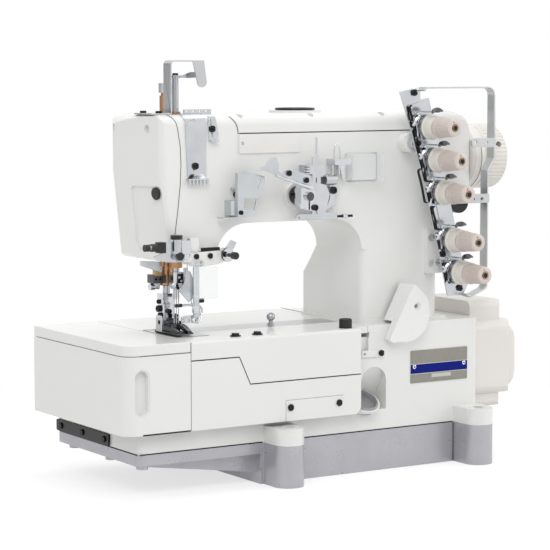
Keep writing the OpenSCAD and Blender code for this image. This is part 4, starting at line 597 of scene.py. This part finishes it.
def round_arc(centre, radius, turn, plane):
    """Points round a centre: the plane's two axes gain radius times cos(turn) and sin(turn)."""
    points = np.tile(np.array(centre, float), (len(turn), 1))
    points[:, plane[0]] += radius * np.cos(turn)
    points[:, plane[1]] += radius * np.sin(turn)
    return points


(nx0, ny0, nz0), (nx1, _, nz1) = np.array(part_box("name_plate")) / MM
for side, x in (("left", nx0 + 5), ("right", nx1 - 5)):
    rivet("name_rivet_" + side, (x, ny0, (nz0 + nz1) / 2), 2.4)
(bx0, by0, bz0), (_, _, bz1) = np.array(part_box("badge_plate")) / MM
rivet("badge_rivet_left", (bx0 + 4, by0, (bz0 + bz1) / 2), 1.5)

# The arm's top edges are rounded by ARM_EDGE about the line (EDGE_Y, EDGE_Z)
ARM_EDGE = 13.0
EDGE_Y = -61.0
EDGE_Z = 393.0

# Painted shadow line along the lower joint of the top cover, from the foot of its curved end
(tx0, ty0, tz0), (tx1, _, _) = np.array(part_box("top_cover")) / MM
COVER_END = 14.0
cover_joint_path = [(x, ty0 + 0.1, tz0 - 0.3) for x in (tx0 + COVER_END, -50.0, tx1 - 4)]
swept("top_cover_shadow_line", smooth_path(cover_joint_path, 40), flat_bar(1.2, 0.5, 0.1), deep_shade, "frame")

# Painted shade in the joint round the top cover's curved end: an arc in x and z that follows the arm's
# rounded edge in y
bend = np.linspace(0.86, 0, 26)
bend_path = round_arc((-192, -74.1, 384.3), 25.1, bend, (0, 2))
over_edge = np.clip((ARM_EDGE + 0.1) ** 2 - (bend_path[:, 2] - EDGE_Z) ** 2, 0, None)
bend_path[:, 1] = np.where(bend_path[:, 2] > EDGE_Z, EDGE_Y - np.sqrt(over_edge), bend_path[:, 1])
swept("top_cover_bend", bend_path, flat_bar(0.9, 0.9, 0.1), joint_shade, "frame")

# Joint of the face cover: its lean in x over its rise in z, then a quarter turn over the arm's edge
rise = np.array([3.0, 7, 33, 57, 82, 104, 124, 142, 145])
lean = np.array([-8.6, -8.2, -4.4, -1, 1.8, 3, 2.2, -0.8, -1.6])
swell = np.linspace(rise[0], rise[-1], 60)
front = np.stack([-241.3 + np.interp(swell, rise, lean), np.full(60, -73.95), 248 + swell], axis=1)
turn = np.linspace(0, np.pi / 2, 14)[1:]
seam_edge = ARM_EDGE - 0.05
over = np.stack([-243.2 - 6.4 * np.sin(turn) ** 2, EDGE_Y - seam_edge * np.cos(turn),
                 EDGE_Z + seam_edge * np.sin(turn)], axis=1)
swept("face_seam_shadow", np.vstack([front, over]), flat_bar(0.8, 0.8, 0.1), joint_shade, "frame",
      up=(1, 0, 0))

# Painted shadow lines in the joints on the front of the bed: the stepped edge of the front cover, the left
# block and its cap
(fx0, fy0, _), (fx1, _, _) = np.array(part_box("front_cover")) / MM
STEP = [(fx0 + 1, 145.4), (-187.3, 145.4), (-173.3, 114.9), (fx1 - 0.5, 114.9)]
shadow_line("step_seam", [(x, fy0 + 0.15, z) for x, z in STEP], 1.0, deep_shade)
shadow_line("left_seam", [(-247.4, fy0 + 0.15, 71), (-247.4, fy0 + 0.15, 165.4)], 0.7, joint_shade)
shadow_line("cap_seam", [(-248, fy0 + 0.1, 154.5), (-309, fy0 + 0.1, 154.5)], 0.7, joint_shade)

# Painted shadow line in the joint between the oil pan and the bed, on the front and on the left end
PAN_JOINT = 46.8
pan_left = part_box("oil_pan")[0][0] / MM
for name, x0, x1 in (("pan_seam_left", pan_left + 2, -149), ("pan_seam_middle", -111, 111)):
    shadow_line(name, [(x0, -95.1, PAN_JOINT), (x1, -95.1, PAN_JOINT)], 1.3, deep_shade)
shadow_line("pan_seam_end", [(pan_left - 0.1, -93, PAN_JOINT), (pan_left - 0.1, 90, PAN_JOINT)], 1.3,
            deep_shade, up=(1, 0, 0))
# painted shadow under the front edge of the left block's cover
shadow_line("block_foot_shadow", [(-306, fy0 + 0.1, 70.5), (-248, fy0 + 0.1, 70.5)], 1.6, deep_shade)

# Painted shadow lines: in the joint round the needle plate, beside the arm's foot, and in the crease of the
# front lug
(qx0, qy0, _), (qx1, qy1, qz1) = np.array(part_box("needle_plate")) / MM
around_plate = [(qx1, qy0 - 0.3, qz1), (qx0 - 0.3, qy0 - 0.3, qz1), (qx0 - 0.3, qy1 + 0.3, qz1),
                (qx1, qy1 + 0.3, qz1)]
shadow_line("needle_plate_joint", around_plate, 1.0, joint_shade, up=(0, 0, 1))
shadow_line("arm_foot_joint", [(4.8, 109.7, 166.45), (-3.9, 5.2, 166.45)], 0.8, joint_shade, up=(0, 0, 1))
shadow_line("lug_crease_shade", [(111.6, -95.6, 1.5), (111.6, -95.6, 46)], 1.4, joint_shade)


# ---------- presser foot and needle area ----------

LEFT = (-1, 0, 0)
RIGHT = (1, 0, 0)
FRONT = (0, -1, 0)
UP = (0, 0, 1)
# Power p of the foot's sections: 2 is an ellipse, and a higher power is squarer
POWER = 5.0
LOFT_POINTS = 28


def lofted(name, path, wide, high, finish, body):
    """A rounded bar along a path, cut in superellipses |x/w|^p + |z/h|^p = 1 of their place's size."""
    path = smooth_path(path, LOFT_POINTS)
    t = np.linspace(0, 1, LOFT_POINTS)
    wide, high = (np.interp(t, np.linspace(0, 1, len(v)), v) / 2 for v in (wide, high))
    turn = np.linspace(0, 2 * np.pi, 32, endpoint=False)
    cross = np.stack([np.sign(np.cos(turn)) * np.abs(np.cos(turn)) ** (2 / POWER),
                      np.sign(np.sin(turn)) * np.abs(np.sin(turn)) ** (2 / POWER)], axis=1)
    side, rise = across_and_rise(path, UP)
    rings = (path[:, None] + cross[:, 0][None, :, None] * side[:, None] * wide[:, None, None]
             + cross[:, 1][None, :, None] * rise[:, None] * high[:, None, None])
    return skin(name, rings, finish, body, angle=50)


# Toes and bridge of the foot: path, then widths and heights along it
FOOT_BARS = {
    "foot_toe_left": ([(-237.4, -34, 173.4), (-237.4, -46, 173), (-237.2, -57, 171.4), (-236.8, -65, 170)],
                      [6, 6, 5.6, 4], [6, 5.6, 4.4, 2.8]),
    "foot_toe_right": ([(-219.8, -34, 174), (-219.8, -46, 173.2), (-220.8, -55, 171), (-222, -63.6, 169.6)],
                       [5, 6.4, 6.6, 4.5], [6.5, 6, 4.4, 2.8]),
    "foot_bridge": ([(-239, -36, 178.6), (-232, -36.6, 179.4), (-225, -36.6, 179), (-218.8, -36.6, 177.4)],
                    [5, 5, 5, 4], [4, 4.4, 4.4, 4]),
}
for name, (middle, wide, high) in FOOT_BARS.items():
    lofted(name, middle, wide, high, foot_steel, "presser")

# Bright cheek on the foot's left side with its hole, a dark disc of painted shade, and a bright ground edge
# along each toe
swept("foot_side_plate", [(-240.5, -28, 168.4), (-240.5, -28, 177), (-240.5, -28, 186)], flat_bar(13, 1.2),
      chromium, "presser", up=RIGHT)
turned("foot_plate_hole", (-241.0, -29, 178.6), [(0, 2.3), (0.3, 2.3), (0.35, 2.0), (0.35, 0.05)], deep_shade,
       "presser", LEFT)
for side, x in (("left", -234.9), ("right", -222.6)):
    edge = [(x, -35, 176.2), (x, -46, 175.6), (x + 0.2, -55, 173.2), (x - 0.4, -62.5, 170.8)]
    swept(f"foot_edge_{side}", smooth_path(edge, 20), round_wire(0.9, 8), chromium, "presser", up=UP)

# Screws of the foot's bridge and the needle clamp, then the clamp's pin and thread eye, then the foot's own
# screws: name, place, axis, diameter, height and body
CLAMP_SCREWS = [
    ("foot_bridge_screw_1", (-232.4, -36.6, 180.6), UP, 3.2, 2.4, "presser"),
    ("foot_bridge_screw_2", (-227.6, -36.6, 180.6), UP, 3.2, 2.4, "presser"),
    ("foot_bridge_screw_3", (-222.8, -36.6, 180.6), UP, 3.2, 2.4, "presser"),
    ("needle_screw_1", (-231.2, -53.3, 218), FRONT, 3.6, 1.2, "needle_bar"),
    ("needle_screw_2", (-226.0, -53.3, 218), FRONT, 3.6, 1.2, "needle_bar"),
]
FOOT_SCREWS = [
    ("foot_screw_top", (-237.6, -25, 200.8), LEFT, 5.0, 3.4, "presser"),
    ("foot_screw_middle", (-236.8, -26, 193.2), LEFT, 7.4, 5.2, "presser"),
    ("foot_screw_low", (-236.8, -28, 186), LEFT, 6.4, 4.2, "presser"),
    ("foot_screw_front", (-230, -30.4, 190), FRONT, 6.0, 3.0, "presser"),
    ("foot_screw_toe", (-224.6, -36, 184.6), (0, -0.8, 0.6), 5.0, 3.0, "presser"),
]
for name, place, axis, diameter, height, body in CLAMP_SCREWS:
    fitting_screw(name, place, axis, diameter, height, blued_steel, body)
fitting_screw("clamp_pin", (-229.2, -52.9, 229.4), FRONT, 3.4, 1.4, chromium, "needle_bar")
fitting_screw("clamp_eye", (-226.6, -52.9, 225.2), FRONT, 2.6, 1.2, chromium, "needle_bar")

# Bush in which the presser bar slides, with a chamfered foot
turned("presser_bar_bush", (-229, -24, 218.4),
       [(0, 4.4), (0, 7.2), (0.8, 7.9), (21.7, 7.9), (21.7, 4.4)], bronze,
       "frame", UP, 64)

# Coil spring beside the right toe: seven turns
coil = round_arc((-217.8, -41.0, 0), 2.1, np.linspace(0, 14 * np.pi, 240), (0, 1))
coil[:, 2] = np.linspace(176, 184.5, 240)
swept("foot_spring", coil, round_wire(0.8, 8), chromium, "presser", up=UP)
for name, place, axis, diameter, height, body in FOOT_SCREWS:
    fitting_screw(name, place, axis, diameter, height, blued_steel, body)

# Ring, guide wires and folded finger that carry the top thread beside the needles
swept("spreader_ring", round_arc((-213.6, -66.8, 193.4), 5.2, np.linspace(0, 2 * np.pi, 60), (0, 2)),
      flat_bar(1.4, 2.6), chromium, "frame")
swept("spreader_hook", smooth_path([(-216, -66.5, 186), (-220, -66, 182.6), (-214.5, -66.5, 179.8),
                                    (-210.5, -67, 183), (-209, -66, 187)], 40),
      round_wire(1.5), chromium, "frame")
swept("thread_finger", smooth_path([(-226.5, -60.6, 240), (-224, -60.8, 226), (-219, -61.6, 214),
                                    (-215, -63, 206)], 24),
      flat_bar(4.4, 1.2), satin_sheet, "frame")
swept("thread_rod", smooth_path([(-222.5, -58.8, 243), (-221.5, -59, 228), (-219, -59.4, 212),
                                 (-217.5, -60, 197)], 24),
      round_wire(1.3), chromium, "frame")

# Screws of the thread lever's clamp and of the cam plate, and the bright sleeve on the tip under the guide
fitting_screw("clamp_screw", (-88.6, -107.2, 303.4), FRONT, 7.0, 2.6, blued_steel, BODY_OF["take_up"])
fitting_screw("cam_plate_screw", (-48, -82.4, 320), FRONT, 8.4, 2.4, blued_steel, "frame")
turned("lower_plate_sleeve", (-37.5, -85.2, 290.9), [(0, 1.6), (0, 2.6), (5.5, 2.6), (5.5, 1.6)], chromium,
       "frame", RIGHT)

# Handwheel: the sunken set screw in its rim, and painted shade in the joint between its smooth hub and its
# ribbed rim
turned("wheel_screw_pit", (186.0, -80.2, 366.5), [(0, 3.3), (1.2, 3.3), (1.25, 2.9), (1.25, 0.05)],
       oiled_steel, "main_shaft", (0, -0.9205, 0.3907), 32)
swept("wheel_joint_shade", round_arc((158.2, -46, 352), 39.1, np.radians(np.linspace(163, 251, 40)), (1, 2)),
      round_wire(0.8, 8), joint_shade, "main_shaft", up=RIGHT)

# Wire loop over the pin block of the lever guide
swept("guide_loop", smooth_path([(-48.3, -84, 354), (-48.0, -84, 362), (-46.6, -84, 369.5),
                                 (-44.2, -84, 371.6), (-41.6, -84, 369.5), (-40.2, -84, 362),
                                 (-39.8, -84, 354)], 30),
      round_wire(1.4), chromium, "frame")


# ---------- stage ----------

# the contact shadow is whole up to SHADOW_NEAR metres from the middle and gone at SHADOW_FAR
SHADOW_NEAR = 0.28
SHADOW_FAR = 0.7
# strength of the sky that lights the machine, beside 1 for the sky the camera sees
AMBIENT = 0.62


def any_ray(tree, path, *kinds):
    """1 for a ray of any of the kinds and 0 for others, as a (node, output) pair."""
    seen = (path, kinds[0])
    for kind in kinds[1:]:
        seen = (add(tree, "ShaderNodeMath", {"operation": "MAXIMUM"}, {0: seen, 1: (path, kind)}), 0)
    return seen


def stage_surface(name, corners, colour, lift):
    """A flat sheet through four corners; cameras and reflections see it lifted towards white."""
    mesh = bpy.data.meshes.new(name)
    mesh.from_pydata(corners, [], [(0, 1, 2, 3)])
    sheet = bpy.data.objects.new(name, mesh)
    bpy.context.scene.collection.objects.link(sheet)
    material = bpy.data.materials.new(name)
    material.use_nodes = True
    tree = material.node_tree
    shader = tree.nodes["Principled BSDF"]
    shader.inputs["Base Color"].default_value = linear(colour)
    shader.inputs["Roughness"].default_value = 0.9
    shader.inputs["Specular IOR Level"].default_value = 0.0
    seen = any_ray(tree, add(tree, "ShaderNodeLightPath"), "Is Camera Ray", "Is Glossy Ray",
                   "Is Transmission Ray")
    strength = add(tree, "ShaderNodeMath", {"operation": "MULTIPLY", 1: lift}, {0: seen})
    glow = add(tree, "ShaderNodeEmission", {"Color": (1, 1, 1, 1)}, {"Strength": (strength, 0)})
    near = add(tree, "ShaderNodeAddShader", None, {0: (shader, 0), 1: (glow, 0)})
    # pure white beyond the contact shadow, which fades out with distance from the middle
    white = add(tree, "ShaderNodeEmission", {"Color": (1, 1, 1, 1), "Strength": 1.0})
    place = add(tree, "ShaderNodeTexCoord")
    distance = add(tree, "ShaderNodeVectorMath", {"operation": "LENGTH"}, {0: (place, "Object")})
    fade = add(tree, "ShaderNodeMapRange",
               {"From Min": SHADOW_NEAR, "From Max": SHADOW_FAR, "To Min": 0.5, "To Max": 0.0},
               {"Value": (distance, "Value")})
    keep = add(tree, "ShaderNodeMath", {"operation": "SUBTRACT", 0: 1.0}, {1: (fade, 0)})
    share = add(tree, "ShaderNodeMath", {"operation": "MULTIPLY"}, {0: (keep, 0), 1: seen})
    both = add(tree, "ShaderNodeMixShader", None, {0: (share, 0), 1: (near, 0), 2: (white, 0)})
    tree.links.new(both.outputs[0], tree.nodes["Material Output"].inputs["Surface"])
    mesh.materials.append(material)
    return sheet


REACH = 12.0
stage_surface("floor", [(-REACH, -REACH, 0), (REACH, -REACH, 0), (REACH, REACH, 0), (-REACH, REACH, 0)],
              "E6E6E6", 0.32)

world = bpy.data.worlds.new("studio")
bpy.context.scene.world = world
world.use_nodes = True
tree = world.node_tree
backdrop = tree.nodes["Background"]
backdrop.inputs["Color"].default_value = (1, 1, 1, 1)
path = add(tree, "ShaderNodeLightPath")
seen = any_ray(tree, path, "Is Camera Ray", "Is Transmission Ray")
level = add(tree, "ShaderNodeMapRange", {"To Min": AMBIENT, "To Max": 1.0}, {"Value": seen})
# plated parts mirror a white studio with one darker side behind the head and one by the camera:
# (direction, cosines at which the darkening starts and is whole, its depth)
DARK_SIDES = [((-0.62, 0.78, 0.0), 0.55, 0.97, 0.7), ((-0.5, -0.86, 0.05), 0.86, 0.99, 0.45)]
place = add(tree, "ShaderNodeTexCoord")
mirrored = None
for direction, start, end, depth in DARK_SIDES:
    toward = add(tree, "ShaderNodeVectorMath", {"operation": "DOT_PRODUCT", 1: direction},
                 {0: (place, "Generated")})
    shade = add(tree, "ShaderNodeMapRange",
                {"interpolation_type": "SMOOTHSTEP", "From Min": start, "From Max": end,
                 "To Min": 1.0, "To Max": 1.0 - depth}, {"Value": (toward, "Value")})
    mirrored = shade if mirrored is None else add(tree, "ShaderNodeMath", {"operation": "MULTIPLY"},
                                                  {0: (mirrored, 0), 1: (shade, 0)})
level = add(tree, "ShaderNodeMix", {"data_type": "FLOAT"},
            {0: (path, "Is Glossy Ray"), 2: (level, 0), 3: (mirrored, 0)})
tree.links.new(level.outputs[0], backdrop.inputs["Strength"])


def soft_lamp(name, place, target, size, watts):
    """A square soft box at place, facing target."""
    lamp = bpy.data.lights.new(name, "AREA")
    lamp.shape = "SQUARE"
    lamp.size = size
    lamp.energy = watts
    holder = bpy.data.objects.new(name, lamp)
    holder.location = place
    holder.rotation_euler = (Vector(target) - Vector(place)).to_track_quat("-Z", "Y").to_euler()
    bpy.context.scene.collection.objects.link(holder)


# name, place, target, size in metres and power in watts
LAMPS = [("key", (-1.4, -2.0, 2.35), (-0.05, 0, 0.2), 1.6, 30),
         ("top", (0.3, 0.2, 2.6), (0, 0, 0.2), 1.8, 22),
         ("rear", (-1.2, 1.6, 1.6), (0.1, 0.05, 0.15), 1.2, 4.5),
         ("side", (2.5, -1.5, 1.2), (0.05, 0, 0.2), 1.4, 18)]
for lamp in LAMPS:
    soft_lamp(*lamp)

# A long lens a little above the bed, at the front left
CAMERA_PLACE = (-1.3773, -2.0750, 0.4596)
CAMERA_AIM = (0.52968, 0.84257, -0.09755)
camera_data = bpy.data.cameras.new("camera")
camera_data.sensor_width = 36.0
camera_data.lens = 140.57
camera_data.clip_end = 60.0
camera = bpy.data.objects.new("camera", camera_data)
camera.location = CAMERA_PLACE
camera.rotation_euler = Vector(CAMERA_AIM).to_track_quat("-Z", "Y").to_euler()
bpy.context.scene.collection.objects.link(camera)
bpy.context.scene.camera = camera
bpy.context.scene.view_settings.view_transform = "Standard"
